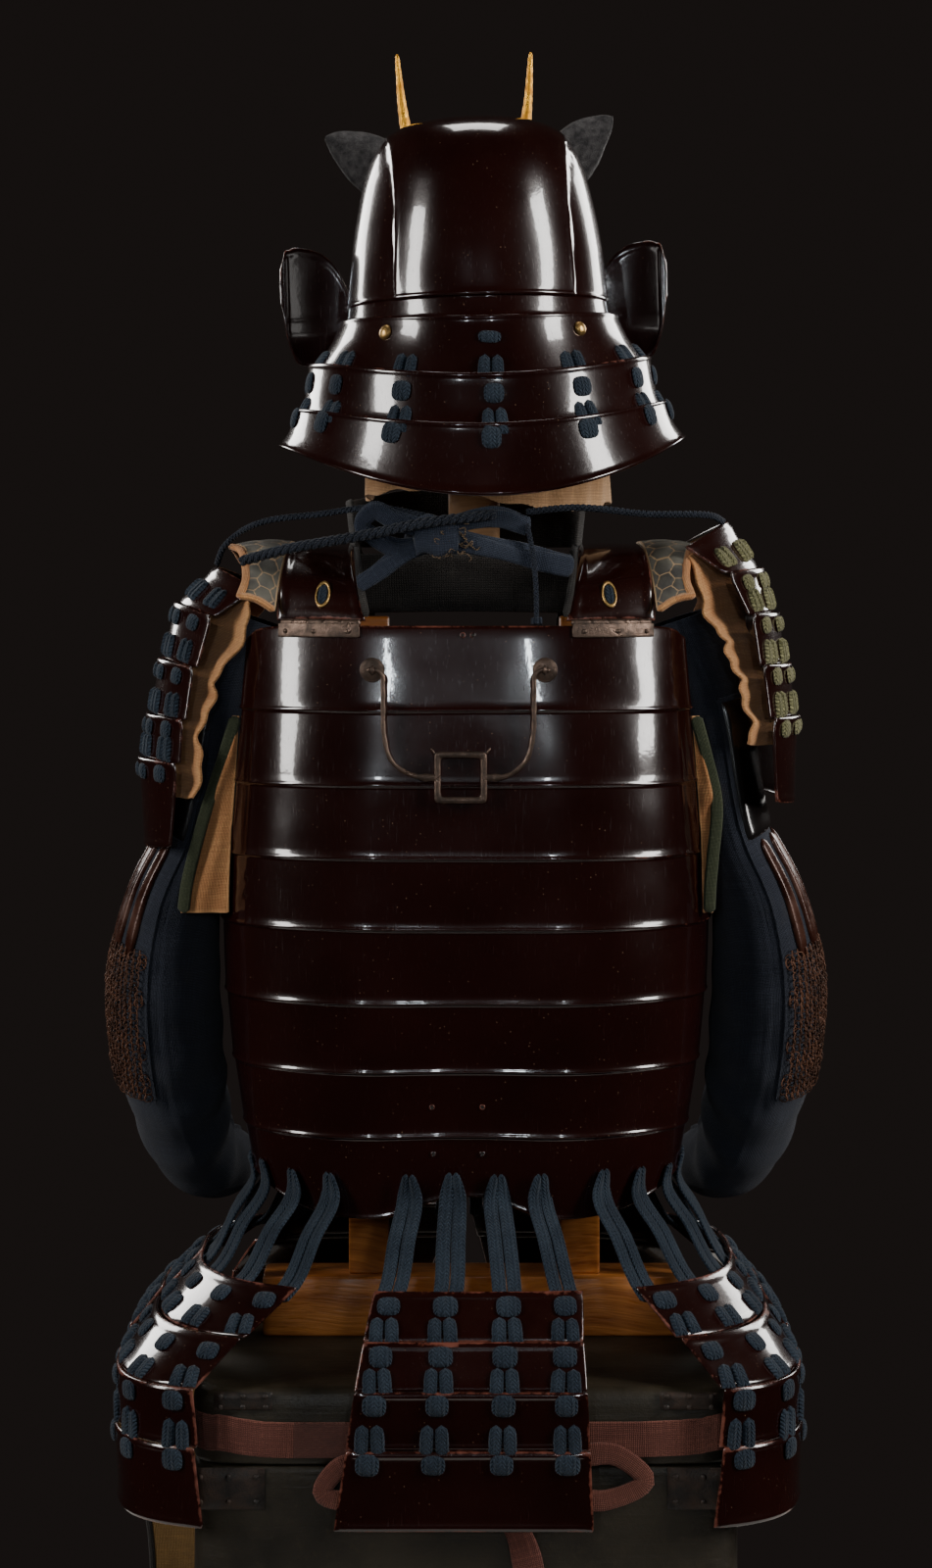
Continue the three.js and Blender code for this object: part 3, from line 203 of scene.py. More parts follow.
def rim_strip(outer, inner, away, at_outer, at_inner, first):
    """Half-round rims: middle + cos(a)·half the wall + sin(a)·half its thickness outward."""
    middle, half = (outer + inner) / 2, (outer - inner) / 2
    reach = np.linalg.norm(half, axis=1, keepdims=True)
    rows = [middle + np.cos(a) * half + np.sin(a) * reach * away for a in RIM]
    index = [at_outer] + [first + i * len(outer) + np.arange(len(outer)) for i in range(len(RIM))] + [at_inner]
    faces = [np.stack([a, np.roll(a, -1), np.roll(b, -1), b], axis=1) for a, b in zip(index, index[1:])]
    return np.concatenate(rows), faces


def shell(grid, thick, worn=None, inner=None, closed=False, rim_wear=1.0, flat=None):
    """A wall of a sheet: the grid, the same grid moved inward along its normals, and a half-round
    rim all round. In a closed grid the columns go right round, so it has a rim at top and foot."""
    rows, columns = grid.shape[:2]
    count = rows * columns
    inside = grid - outward(grid, closed) * thick if inner is None else inner
    front = quads(rows, columns, closed)
    index = np.arange(count).reshape(rows, columns)
    flat = measured(grid) if flat is None else flat
    worn = np.zeros((rows, columns)) if worn is None else np.array(worn, float)
    if closed:
        loops = [(index[0], grid[0] - grid[1]), (index[-1][::-1], (grid[-1] - grid[-2])[::-1])]
    else:
        ring = np.concatenate([index[0, :-1], index[:-1, -1], index[-1, :0:-1], index[:0:-1, 0]])
        step_r = np.gradient(grid, axis=0)
        step_c = np.gradient(grid, axis=1)
        away = np.concatenate([-unit(step_r[0, :-1]), unit(step_c[:-1, -1]), unit(step_r[-1, :0:-1]),
                               -unit(step_c[:0:-1, 0])])
        loops = [(ring, away)]
        worn[0], worn[-1], worn[:, 0], worn[:, -1] = [np.maximum(w, rim_wear) for w in
                                                      (worn[0], worn[-1], worn[:, 0], worn[:, -1])]
    points, faces, flats, wears = [grid, inside], [front, front[:, ::-1] + count], [flat, flat], [worn,
                                                                                                  worn * 0]
    first = 2 * count
    outer, inner_points = grid.reshape(-1, 3), inside.reshape(-1, 3)
    for ring, away in loops:
        rows_made, strips = rim_strip(outer[ring], inner_points[ring], unit(away), ring, ring + count, first)
        points.append(rows_made)
        faces += strips
        flats.append(np.tile(flat.reshape(-1, 2)[ring], (len(RIM), 1)))
        wears.append(np.full(len(rows_made), rim_wear))
        first += len(rows_made)
    return form(np.concatenate([p.reshape(-1, 3) for p in points]), faces,
                np.concatenate([f.reshape(-1, 2) for f in flats]), np.concatenate([w.ravel() for w in wears]))


# %% [markdown]
# ## Straps, cords and copies
# A cord or a braid is a profile carried along a smooth path. A small form that comes back many
# times, such as a lacing knot or a ring of mail, is one short template that is placed by a
# frame of three directions, all at once.

# %% Sweeps and copies
def smooth_path(points, count):
    """A smooth line through points, at even shares of its length."""
    points = np.asarray(points, float)
    far = np.concatenate([[0], np.cumsum(np.linalg.norm(np.diff(points, axis=0), axis=1))])
    dense = read(np.column_stack([far, points]), steps(max(200, count * 4), 0, far[-1])).T
    length = np.concatenate([[0], np.cumsum(np.linalg.norm(np.diff(dense, axis=0), axis=1))])
    even = steps(count, 0, length[-1])
    return np.stack([np.interp(even, length, dense[:, k]) for k in range(3)], axis=1)


def sweep(path, wide, thick, face=(0, -1, 0), sides=10, squareness=2.0, worn=0.0, blunt=0.5):
    """A rounded bar along a path. `wide` and `thick` are its half sizes, and `face` is the side
    that its flat looks to. Profile: x = wide·cos^(2/squareness), y = thick·sin^(2/squareness)."""
    path = np.asarray(path, float)
    count = len(path)
    along = unit(np.gradient(path, axis=0))
    face = np.broadcast_to(np.asarray(face, float), path.shape)
    across = unit(np.cross(along, face))
    up = np.cross(across, along)
    wide, thick = [np.broadcast_to(np.asarray(v, float), count)[:, None] for v in (wide, thick)]
    turn = steps(sides + 1, 0, 2 * np.pi)[:-1]
    ring_x, ring_y = power(np.cos(turn), 2 / squareness), power(np.sin(turn), 2 / squareness)
    ends = np.ones(count)
    ends[[0, -1]] = blunt
    grid = (path[:, None] + across[:, None] * (wide * ends[:, None] * ring_x)[..., None]
            + up[:, None] * (thick * ends[:, None] * ring_y)[..., None])
    far = np.concatenate([[0], np.cumsum(np.linalg.norm(np.diff(path, axis=0), axis=1))])
    v = np.broadcast_to(far[:, None], (count, sides))
    u = np.broadcast_to((ring_x * wide) + (turn - np.pi) * 0.001, (count, sides))
    body = quads(count, sides, True)
    tips = np.stack([path[0] - along[0] * thick[0] * 0.3, path[-1] + along[-1] * thick[-1] * 0.3])
    last = (count - 1) * sides
    ring = np.arange(sides)
    caps = [np.stack([np.full(sides, count * sides), ring, np.roll(ring, -1)], axis=1),
            np.stack([np.full(sides, count * sides + 1), np.roll(ring, -1) + last, ring + last], axis=1)]
    flat = np.concatenate([np.stack([u, v], -1).reshape(-1, 2), [[0, 0], [0, far[-1]]]])
    return form(np.concatenate([grid.reshape(-1, 3), tips]), [body, *caps], flat,
                np.full(count * sides + 2, worn))


def copies(template, places, frames, sizes=None):
    """One form placed many times: each point is place + its x, y and z along the frame's axes."""
    points, faces, flat, worn = template
    places, frames = np.asarray(places, float), np.asarray(frames, float)
    sizes = np.ones((len(places), 3)) if sizes is None else np.broadcast_to(sizes, (len(places), 3))
    made = places[:, None] + np.einsum("pk,mk,mkj->mpj", points, sizes, frames)
    moves = np.arange(len(places)) * len(points)
    many = [(f[None] + moves[:, None, None]).reshape(-1, f.shape[1]) for f in faces]
    return form(made.reshape(-1, 3), many, (flat[None] * sizes[:, None, :2]).reshape(-1, 2),
                np.tile(worn, len(places)))


def frames_on(right, normal):
    """Frames from a rightward direction and a normal: x right, y up the surface, z outward."""
    normal = unit(np.asarray(normal, float))
    right = unit(right - normal * np.sum(right * normal, axis=-1, keepdims=True))
    return np.stack([right, np.cross(normal, right), normal], axis=-2)


def on_surface(surface, u, v, step=0.02):
    """Places and frames on a surface function, from small steps to the right and down."""
    here = surface(u, v)
    right = surface(u + step, v) - here
    down = surface(u, v + step) - here
    return here, frames_on(right, np.cross(down, right))


def dome(rows=5, sides=12, square=2.0):
    """A low round head: radius sin(a) and height cos(a), for rivets, studs and knots."""
    a = steps(rows, 0.02, np.pi / 2)[:, None]
    t = steps(sides + 1, 0, 2 * np.pi)[:-1][None]
    grid = np.stack([np.sin(a) * power(np.cos(t), 2 / square), np.sin(a) * power(np.sin(t), 2 / square),
                     np.cos(a) + 0 * t], axis=-1)
    return form(grid, [quads(rows, sides, True)], grid[..., :2])


def ring_form(radius, wire, sides=10, round_sides=5):
    """A wire ring in its own flat: a small circle carried round a big one."""
    a = steps(sides + 1, 0, 2 * np.pi)[:-1][:, None]
    b = steps(round_sides + 1, 0, 2 * np.pi)[:-1][None]
    reach = radius + wire * np.cos(b)
    grid = np.stack([reach * np.cos(a), reach * np.sin(a), wire * np.sin(b) + 0 * a], axis=-1)
    index = np.arange(sides * round_sides).reshape(sides, round_sides)
    faces = np.stack([index, np.roll(index, -1, 0), np.roll(np.roll(index, -1, 0), -1, 1),
                      np.roll(index, -1, 1)], axis=-1).reshape(-1, 4)
    return form(grid, [faces], grid[..., :2])


def ripple(x, y, seed, size):
    """Slow uneven folds: three sines of different length and direction, from -1 to 1."""
    rng = np.random.default_rng(seed)
    a, b, c = rng.uniform(0, 2 * np.pi, (3, 3))
    parts = [np.sin((x * np.cos(a[k]) + y * np.sin(a[k])) / size * (1 + 0.7 * k) + b[k]) for k in range(3)]
    return (parts[0] + 0.6 * parts[1] + 0.4 * parts[2]) / 2

# %% [markdown]
# ## Writing shaders in short lines
# A material here is a small tree of nodes. A helper that adds a node, links what is a socket and
# sets what is a number keeps each material readable. Weave, braid, wear and dust come back in
# several materials, so each is a group of its own that gives only masks, values and colours.

# %% Shader helpers
class Tree:
    """Short lines for a node tree: a socket is linked, and a number or colour is set."""

    def __init__(self, tree):
        self.tree = tree

    def add(self, kind, sockets=None, out=0, **settings):
        node = self.tree.nodes.new("ShaderNode" + kind)
        for key, value in settings.items():
            setattr(node, key, value)
        for key, value in (sockets or {}).items():
            if isinstance(value, bpy.types.NodeSocket):
                self.tree.links.new(value, node.inputs[key])
            else:
                node.inputs[key].default_value = value
        return node if out is None else node.outputs[out]

    def math(self, operation, a, b=0.0, c=0.0, clamp=False):
        return self.add("Math", {0: a, 1: b, 2: c}, operation=operation, use_clamp=clamp)

    def blend(self, a, b, share):
        """Colour a where the share is 0 and colour b where it is 1."""
        return self.add("Mix", {0: share, 6: a, 7: b}, out=2, data_type="RGBA")

    def range(self, value, low, high, to_low=0.0, to_high=1.0):
        return self.add("MapRange", {0: value, 1: low, 2: high, 3: to_low, 4: to_high})

    def noise(self, where, scale, detail=2.0, stretch=None, roughness=0.5, colour=False):
        if stretch:
            where = self.add("VectorMath", {0: where, 1: stretch}, operation="MULTIPLY")
        return self.add("TexNoise", {"Vector": where, "Scale": scale, "Detail": detail,
                                     "Roughness": roughness},
                        out=1 if colour else 0)

    def place(self):
        return self.add("TexCoord", out=3)

    def flat(self):
        return self.add("UVMap", uv_map="flat")

    def worn(self):
        return self.add("Attribute", out=2, attribute_name="worn")

    def bump(self, height, distance, strength=1.0, normal=None):
        sockets = {"Strength": strength, "Distance": distance, "Height": height}
        if normal is not None:
            sockets["Normal"] = normal
        return self.add("Bump", sockets)

    def shared(self, group, sockets):
        node = self.add("Group", out=None, node_tree=group)
        for key, value in sockets.items():
            if isinstance(value, bpy.types.NodeSocket):
                self.tree.links.new(value, node.inputs[key])
            else:
                node.inputs[key].default_value = value
        return node.outputs


def effect(name, takes, gives):
    """A node group that other materials share. Its outputs are masks, values and colours only."""
    group = bpy.data.node_groups.new(name, "ShaderNodeTree")
    for label, kind in takes:
        group.interface.new_socket(label, in_out="INPUT", socket_type="NodeSocket" + kind)
    for label, kind in gives:
        group.interface.new_socket(label, in_out="OUTPUT", socket_type="NodeSocket" + kind)
    tree = Tree(group)
    source = group.nodes.new("NodeGroupInput")
    result = group.nodes.new("NodeGroupOutput")
    return group, tree, source.outputs, lambda label, socket: group.links.new(socket, result.inputs[label])


def material(name, base, roughness=0.5, metallic=0.0, **constants):
    """A material with one Principled shader. Constants are set on the shader's own sockets."""
    made = bpy.data.materials.new(name)
    made.use_nodes = True
    tree = Tree(made.node_tree)
    shader = made.node_tree.nodes["Principled BSDF"]
    made.diffuse_color = (*base, 1)
    shader.inputs["Base Color"].default_value = (*base, 1)
    shader.inputs["Roughness"].default_value = roughness
    shader.inputs["Metallic"].default_value = metallic
    for key, value in constants.items():
        shader.inputs[key.replace("_", " ")].default_value = value

    def to(label, socket):
        made.node_tree.links.new(socket, shader.inputs[label])
    return made, tree, to


# %% [markdown]
# ## Weave, braid, wear and dust
# Hemp is a plain weave: warp and weft take turns on top, like the squares of a chessboard, and
# hand-spun threads differ in thickness and dye. The lacing is braid, whose strands meet in a
# row of arrow heads. Wear eats the edges in uneven bites, and dust lies on what looks up.

# %% Shared effects
weave, t, given, give = effect("plain weave", [("Flat", "Vector"), ("Threads", "Float")],
                               [("Height", "Float"), ("Streaks", "Float")])
scaled = t.add("VectorMath", {0: given["Flat"], 3: given["Threads"]}, operation="SCALE")
wander = t.noise(given["Flat"], 90, colour=True)
scaled = t.add("VectorMath", {0: scaled, 1: t.add("VectorMath", {0: wander, 3: 1.1}, operation="SCALE")},
               operation="ADD")
axis = t.add("SeparateXYZ", {0: scaled}, out=None).outputs
warp = t.math("ABSOLUTE", t.math("SINE", t.math("MULTIPLY", axis[0], np.pi)))
weft = t.math("ABSOLUTE", t.math("SINE", t.math("MULTIPLY", axis[1], np.pi)))
turn = t.math("MODULO", t.math("ADD", t.math("FLOOR", axis[0]), t.math("FLOOR", axis[1])), 2.0)
over = t.math("ABSOLUTE", turn)
crossing = t.math("ADD", t.math("MULTIPLY", warp, over),
                  t.math("MULTIPLY", weft, t.math("SUBTRACT", 1.0, over)))
give("Height", t.math("MULTIPLY", crossing, t.math("MULTIPLY", warp, weft)))
lengthwise = t.noise(given["Flat"], 1.0, detail=3, stretch=(520, 22, 1))
sideways = t.noise(given["Flat"], 1.0, detail=3, stretch=(26, 480, 1))
give("Streaks", t.math("MULTIPLY", t.math("ADD", lengthwise, sideways), 0.5))

braid, t, given, give = effect("flat braid", [("Flat", "Vector"), ("Strands", "Float")],
                               [("Height", "Float"), ("Streaks", "Float")])
scaled = t.add("VectorMath", {0: given["Flat"], 3: given["Strands"]}, operation="SCALE")
axis = t.add("SeparateXYZ", {0: scaled}, out=None).outputs
slant = t.math("ADD", axis[1], t.math("MULTIPLY", t.math("PINGPONG", axis[0], 1.0), 1.1))
strand = t.math("ABSOLUTE", t.math("SINE", t.math("MULTIPLY", slant, np.pi)))
side = t.math("ABSOLUTE", t.math("SINE", t.math("MULTIPLY", axis[0], np.pi)))
give("Height", t.math("MULTIPLY", t.math("ADD", strand, 0.5), t.math("ADD", side, 0.6)))
give("Streaks", t.noise(given["Flat"], 700, detail=3))

wear, t, given, give = effect("worn edges", [("Place", "Vector"), ("Worn", "Float")], [("Mask", "Float")])
bites = t.noise(given["Place"], 130, detail=5, roughness=0.7)
patch = t.noise(given["Place"], 17, detail=2)
limit = t.math("ADD", given["Worn"], t.math("MULTIPLY", t.math("SUBTRACT", patch, 0.5), 0.9))
give("Mask", t.range(t.math("ADD", limit, t.math("MULTIPLY", bites, 0.9)), 1.32, 1.52))

dust, t, given, give = effect("dust", [("Place", "Vector")], [("Mask", "Float"), ("Specks", "Float")])
up = t.add("SeparateXYZ", {0: t.add("NewGeometry", out=1)}, out=None).outputs[2]
cloud = t.noise(given["Place"], 38, detail=6, roughness=0.65)
give("Mask", t.math("MULTIPLY", t.range(up, -0.1, 1.0), t.range(cloud, 0.42, 0.75)))
cells = t.add("TexVoronoi", {"Vector": given["Place"], "Scale": 260.0}, out=None)
small = t.range(cells.outputs[0], 0.17, 0.06)
chosen = t.range(t.add("SeparateXYZ", {0: cells.outputs[1]}), 0.76, 0.8)
region = t.range(t.noise(given["Place"], 21, detail=3), 0.4, 0.62)
give("Specks", t.math("MULTIPLY", t.math("MULTIPLY", small, chosen), region))
print("shared effects:", [g.name for g in bpy.data.node_groups])

# %% [markdown]
# ## Lacquer
# The plates are iron under many coats of dark red-brown lacquer, polished like glass. A clear
# coat over a duller red body gives both the sharp white reflection and the red glow round it.
# Slow unevenness bends the reflections, and along the edges the coats are worn to pale ground.

# %% Lacquer
def lacquer_material(name, base, ground, gloss=0.05, speck_share=0.3):
    made, t, to = material(name, base, 0.3, Coat_Weight=0.9, Coat_Roughness=gloss, Coat_IOR=1.55)
    where = t.place()
    mask = t.shared(wear, {"Place": where, "Worn": t.worn()})["Mask"]
    dusty = t.shared(dust, {"Place": where})
    tone = t.noise(where, 9, detail=4)
    colour = t.blend((*base, 1), tuple(np.array([*base, 1]) * [1.6, 1.5, 1.4, 1]), t.range(tone, 0.35, 0.75))
    colour = t.blend(colour, (0.22, 0.12, 0.075, 1), t.math("MULTIPLY", dusty["Mask"], 0.035))
    colour = t.blend(colour, (0.55, 0.36, 0.22, 1), t.math("MULTIPLY", dusty["Specks"], speck_share))
    to("Base Color", t.blend(colour, (*ground, 1), t.math("MULTIPLY", mask, 0.85)))
    scratch = t.noise(where, 1.0, detail=2, stretch=(900, 900, 60))
    dull = t.math("ADD", t.range(tone, 0.3, 0.8, 0.16, 0.26), t.math("MULTIPLY", mask, 0.3))
    to("Roughness", t.math("ADD", dull, t.range(scratch, 0.6, 0.8, 0.0, 0.14)))
    slow = t.noise(where, 13, detail=1)
    fine = t.noise(where, 210, detail=3)
    height = t.math("ADD", slow, t.math("MULTIPLY", fine, 0.018))
    bumped = t.bump(t.math("SUBTRACT", height, t.math("MULTIPLY", mask, 0.02)), 0.004, 0.6)
    to("Normal", bumped)
    to("Coat Normal", bumped)
    return made


lacquer = lacquer_material("red brown lacquer", (0.0105, 0.0015, 0.0010), (0.20, 0.055, 0.032))
black_lacquer = lacquer_material("black lacquer", (0.006, 0.005, 0.005), (0.12, 0.07, 0.045), 0.2)

# %% [markdown]
# ## Metals
# The bracket and the hinges are forged iron, dark and a little pitted. The mail and the splints
# on the sleeves have rusted brown. Gilding on the horns is thin and rubbed, brass rivets are
# dull at the rim and bright on top.

# %% Metals
def metal_material(name, base, second, roughness, metallic, pits=0.0004, scale=60.0):
    made, t, to = material(name, base, roughness, metallic)
    where = t.place()
    patches = t.noise(where, scale, detail=6, roughness=0.68)
    share = t.range(patches, 0.4, 0.64)
    mask = t.shared(wear, {"Place": where, "Worn": t.worn()})["Mask"]
    colour = t.blend((*base, 1), (*second, 1), share)
    to("Base Color", t.blend(colour, tuple(np.minimum(np.array([*base, 1]) * 3.2, 1)), mask))
    to("Roughness", t.range(patches, 0.3, 0.7, roughness - 0.1, roughness + 0.22))
    fine = t.noise(where, scale * 8, detail=4, roughness=0.7)
    to("Normal", t.bump(t.math("ADD", patches, t.math("MULTIPLY", fine, 0.4)), pits))
    return made


forged_iron = metal_material("forged iron", (0.15, 0.10, 0.075), (0.05, 0.036, 0.028), 0.32, 0.75, 0.0006, 90)
mail_iron = metal_material("mail", (0.15, 0.062, 0.032), (0.045, 0.020, 0.012), 0.62, 0.3, 0.0003, 55)
splint_iron = metal_material("splints", (0.030, 0.0085, 0.0055), (0.075, 0.028, 0.016), 0.2, 0.25, 0.0004, 24)
ear_iron = metal_material("ear iron", (0.05, 0.046, 0.046), (0.008, 0.007, 0.008), 0.42, 0.35, 0.0016, 140)
gilding = metal_material("gilding", (0.85, 0.43, 0.045), (0.55, 0.22, 0.02), 0.3, 0.8, 0.0005, 160)
brass = metal_material("brass", (0.60, 0.38, 0.13), (0.30, 0.17, 0.06), 0.3, 0.85, 0.0002, 200)
chest_iron = metal_material("chest iron", (0.020, 0.017, 0.015), (0.05, 0.030, 0.020), 0.48, 0.4, 0.0007, 70)

# %% [markdown]
# ## Cloth, braid and leather
# Cloth scatters light off its loose fibres, so it has some sheen and almost no gloss. The weave
# is bump and a little colour, at the scale of real hemp, a thread or so to the millimetre. The
# colour has lighter streaks of dye, and painted shade that darkens the gaps between threads and
# between the strands of the braid.

# %% Cloth
def cloth_material(name, base, second, threads=850, stain=None, sheen=0.1, depth=0.0005):
    made, t, to = material(name, base, 0.92, Sheen_Weight=sheen, Sheen_Roughness=0.6,
                           Specular_IOR_Level=0.15)
    flat, where = t.flat(), t.place()
    cloth = t.shared(weave, {"Flat": flat, "Threads": float(threads)})
    faded = t.noise(where, 11, detail=4)
    colour = t.blend((*base, 1), (*second, 1), t.range(faded, 0.36, 0.7))
    colour = t.blend(colour, tuple(np.minimum(np.array([*second, 1]) * 1.7, 1)),
                     t.range(cloth["Streaks"], 0.5, 0.72, 0.0, 0.75))
    # Painted shade: the colour darkens toward a third of the base where the weave is low, in the gaps between
    # threads.
    dark = tuple(np.array([*base, 1]) * [0.35, 0.35, 0.4, 1])
    colour = t.blend(dark, colour, t.range(cloth["Height"], 0.0, 0.42, 0.35, 1.0))
    if stain is not None:
        spots = t.range(t.noise(where, 24, detail=5, roughness=0.7), 0.56, 0.72)
        colour = t.blend(colour, (*stain, 1), t.math("MULTIPLY", spots, 0.8))
    colour = t.blend(colour, tuple(np.minimum(np.array([*second, 1]) * 1.5 + [0.02, 0.02, 0.02, 0], 1)),
                     t.math("MULTIPLY", t.worn(), 0.55))
    to("Base Color", colour)
    slubs = t.math("ADD", cloth["Height"], t.math("MULTIPLY", cloth["Streaks"], 1.2))
    to("Normal", t.bump(slubs, depth))
    return made


def braid_material(name, base, second, strands=300, frayed=0.0):
    made, t, to = material(name, base, 0.9, Sheen_Weight=0.08, Sheen_Roughness=0.55, Specular_IOR_Level=0.2)
    where = t.place()
    cord = t.shared(braid, {"Flat": t.flat(), "Strands": float(strands)})
    age = t.noise(where, 35, detail=4)
    colour = t.blend((*base, 1), (*second, 1), t.range(age, 0.38, 0.66))
    # Painted shade: the colour darkens where the braid is low, in the gaps between its strands.
    colour = t.blend(tuple(np.array([*base, 1]) * [0.3, 0.3, 0.35, 1]), colour,
                     t.range(cord["Height"], 0.25, 1.1, 0.15, 1.0))
    light = tuple(np.minimum(np.array([*second, 1]) * 2.2, 1))
    fibres = t.range(cord["Streaks"], 0.56 - frayed, 0.72, 0.0, 0.8)
    to("Base Color", t.blend(colour, light, fibres))
    to("Normal", t.bump(t.math("ADD", cord["Height"], t.math("MULTIPLY", cord["Streaks"], 0.5)), 0.0007))
    return made


blue_hemp = cloth_material("blue hemp", (0.016, 0.020, 0.032), (0.032, 0.038, 0.055), 750,
                           stain=(0.03, 0.03, 0.035))
knot_hemp = cloth_material("knot hemp", (0.022, 0.030, 0.050), (0.045, 0.056, 0.080), 750)
tan_hemp = cloth_material("tan hemp", (0.60, 0.25, 0.085), (0.70, 0.35, 0.14), 800,
                          stain=(0.30, 0.10, 0.03), sheen=0.2)
liner_hemp = cloth_material("liner hemp", (0.50, 0.26, 0.11), (0.60, 0.36, 0.18), 800, sheen=0.2)
apron_hemp = cloth_material("apron hemp", (0.19, 0.10, 0.028), (0.26, 0.15, 0.05), 700,
                            stain=(0.10, 0.055, 0.02))
red_hemp = cloth_material("red hemp", (0.15, 0.050, 0.036), (0.23, 0.085, 0.058), 700,
                          stain=(0.07, 0.028, 0.022))
green_binding = cloth_material("green binding", (0.050, 0.062, 0.030), (0.085, 0.095, 0.05), 900)
black_cloth = cloth_material("black cloth", (0.016, 0.014, 0.012), (0.028, 0.024, 0.021), 500,
                             stain=(0.04, 0.036, 0.03))
blue_braid = braid_material("blue braid", (0.013, 0.022, 0.035), (0.026, 0.040, 0.058))
thin_braid = braid_material("thin blue cord", (0.010, 0.014, 0.024), (0.022, 0.028, 0.042), 420)
olive_braid = braid_material("olive braid", (0.13, 0.125, 0.055), (0.20, 0.19, 0.10), 300, 0.05)
frayed_thread = braid_material("frayed thread", (0.13, 0.085, 0.05), (0.22, 0.15, 0.09), 500, 0.08)

# %% [markdown]
# ## Leather, wood and chest
# The shoulder pads are grey leather sewn over with hexagons, a traditional armoured quilting.
# The stand is varnished wood with its grain along each board, and the chest is wood under
# old dark lacquer, scuffed back to brown along its edges.

# %% Leather, wood and chest
def leather_material():
    made, t, to = material("grey leather", (0.09, 0.088, 0.075), 0.6)
    where = t.place()
    grain = t.add("TexVoronoi", {"Vector": where, "Scale": 900.0}, feature="DISTANCE_TO_EDGE")
    patches = t.noise(where, 42, detail=5)
    colour = t.blend((0.055, 0.052, 0.046, 1), (0.17, 0.16, 0.125, 1), t.range(patches, 0.35, 0.7))
    to("Base Color", t.blend(colour, (0.42, 0.28, 0.15, 1), t.range(t.worn(), 0.5, 0.8)))
    to("Roughness", t.range(patches, 0.3, 0.7, 0.42, 0.72))
    to("Normal", t.bump(t.math("ADD", t.math("MINIMUM", grain, 0.2), patches), 0.0006))
    return made


def wood_material(name, dark, light, rough=0.32, ring_scale=16.0, coat=0.35):
    made, t, to = material(name, light, rough, Coat_Weight=coat, Coat_Roughness=0.16)
    where = t.place()
    wander = t.noise(where, 5, detail=2, colour=True)
    bent = t.add("VectorMath", {0: where, 1: t.add("VectorMath", {0: wander, 3: 0.05}, operation="SCALE")},
                 operation="ADD")
    rings = t.noise(bent, ring_scale, detail=4, stretch=(0.35, 3.2, 5.5), roughness=0.6)
    fibre = t.noise(bent, 60, detail=4, stretch=(0.5, 6.0, 9.0))
    share = t.math("ADD", t.math("MULTIPLY", rings, 0.7), t.math("MULTIPLY", fibre, 0.3))
    colour = t.blend((*dark, 1), (*light, 1), t.range(share, 0.36, 0.62))
    mask = t.shared(wear, {"Place": where, "Worn": t.worn()})["Mask"]
    to("Base Color", t.blend(colour, tuple(np.array([*light, 1]) * [1.3, 1.3, 1.3, 1]), mask))
    to("Roughness", t.range(fibre, 0.3, 0.7, rough - 0.06, rough + 0.14))
    to("Normal", t.bump(t.math("ADD", fibre, t.math("MULTIPLY", rings, 0.5)), 0.0005))
    return made


def chest_material():
    made, t, to = material("chest lacquer", (0.035, 0.026, 0.012), 0.5)
    where = t.place()
    mask = t.shared(wear, {"Place": where, "Worn": t.worn()})["Mask"]
    dusty = t.shared(dust, {"Place": where})
    broad = t.noise(where, 7, detail=6, roughness=0.65)
    fine = t.noise(where, 150, detail=5, roughness=0.7)
    grain = t.noise(where, 30, detail=3, stretch=(0.35, 4.0, 7.0))
    colour = t.blend((0.007, 0.005, 0.0022, 1), (0.030, 0.021, 0.008, 1), t.range(broad, 0.34, 0.68))
    colour = t.blend(colour, (0.045, 0.031, 0.013, 1), t.range(fine, 0.55, 0.75, 0.0, 0.5))
    colour = t.blend(colour, (0.10, 0.075, 0.045, 1), t.math("MULTIPLY", dusty["Mask"], 0.2))
    to("Base Color", t.blend(colour, (0.13, 0.075, 0.032, 1), mask))
    to("Roughness", t.range(broad, 0.3, 0.7, 0.36, 0.68))
    to("Normal", t.bump(t.math("ADD", fine, t.math("MULTIPLY", grain, 0.8)), 0.0007))
    return made


grey_leather = leather_material()
stand_wood = wood_material("stand wood", (0.22, 0.060, 0.010), (0.52, 0.19, 0.040))
plain_wood = wood_material("plain wood", (0.20, 0.10, 0.045), (0.36, 0.21, 0.10), 0.55, coat=0.0)
chest_lacquer = chest_material()
print("materials:", len(bpy.data.materials))

# %% [markdown]
# ## The trunk
# The cuirass is a rounded oblong in plan, boxy across the back, with a shallow channel down the
# spine. A superellipse gives that plan: x = width·sin^0.8 and y = depth·cos^0.8. Its sizes
# change with height in a table, and every plate, hole and cord on the trunk uses it.

# %% The trunk's surface
TORSO = [(560, 172, 108, 112, 9), (600, 181, 114, 120, 11), (667, 194, 121, 130, 13),
         (751, 204, 129, 138, 11),
         (828, 207, 133, 140, 8), (880, 205, 135, 138, 6), (985, 200, 133, 128, 4), (1060, 196, 125, 112, 2)]
BACK_EDGE = [(560, 90), (826, 90), (838, 81), (856, 73), (890, 69.5), (980, 67), (1060, 66)]
FRONT_EDGE = [(560, 89.95), (826, 89.95), (842, 76), (870, 62), (940, 52), (1000, 48)]
LAME_EDGES = [985, 924, 864, 806, 745, 688, 634]
BACK_TOP = 1054


def straight(rows, at):
    rows = np.array(rows, float)
    return np.interp(at, rows[:, 0], rows[:, 1])


def torso(angle, z, out=0.0):
    """x = (half + out)·sin^0.8, y = −(depth + out)·cos^0.8 + the spine's channel, behind only."""
    angle, z, out = np.broadcast_arrays(np.asarray(angle, float), z, out)
    half, back, front, spine = read(TORSO, z)
    turn = np.radians(angle)
    behind = np.cos(turn) > 0
    depth = np.where(behind, back, front) + out
    channel = np.where(behind, spine * np.exp(-(angle / 14) ** 2), 0)
    return np.stack([(half + out) * power(np.sin(turn), 0.8), -depth * power(np.cos(turn), 0.8) + channel,
                     z], -1)


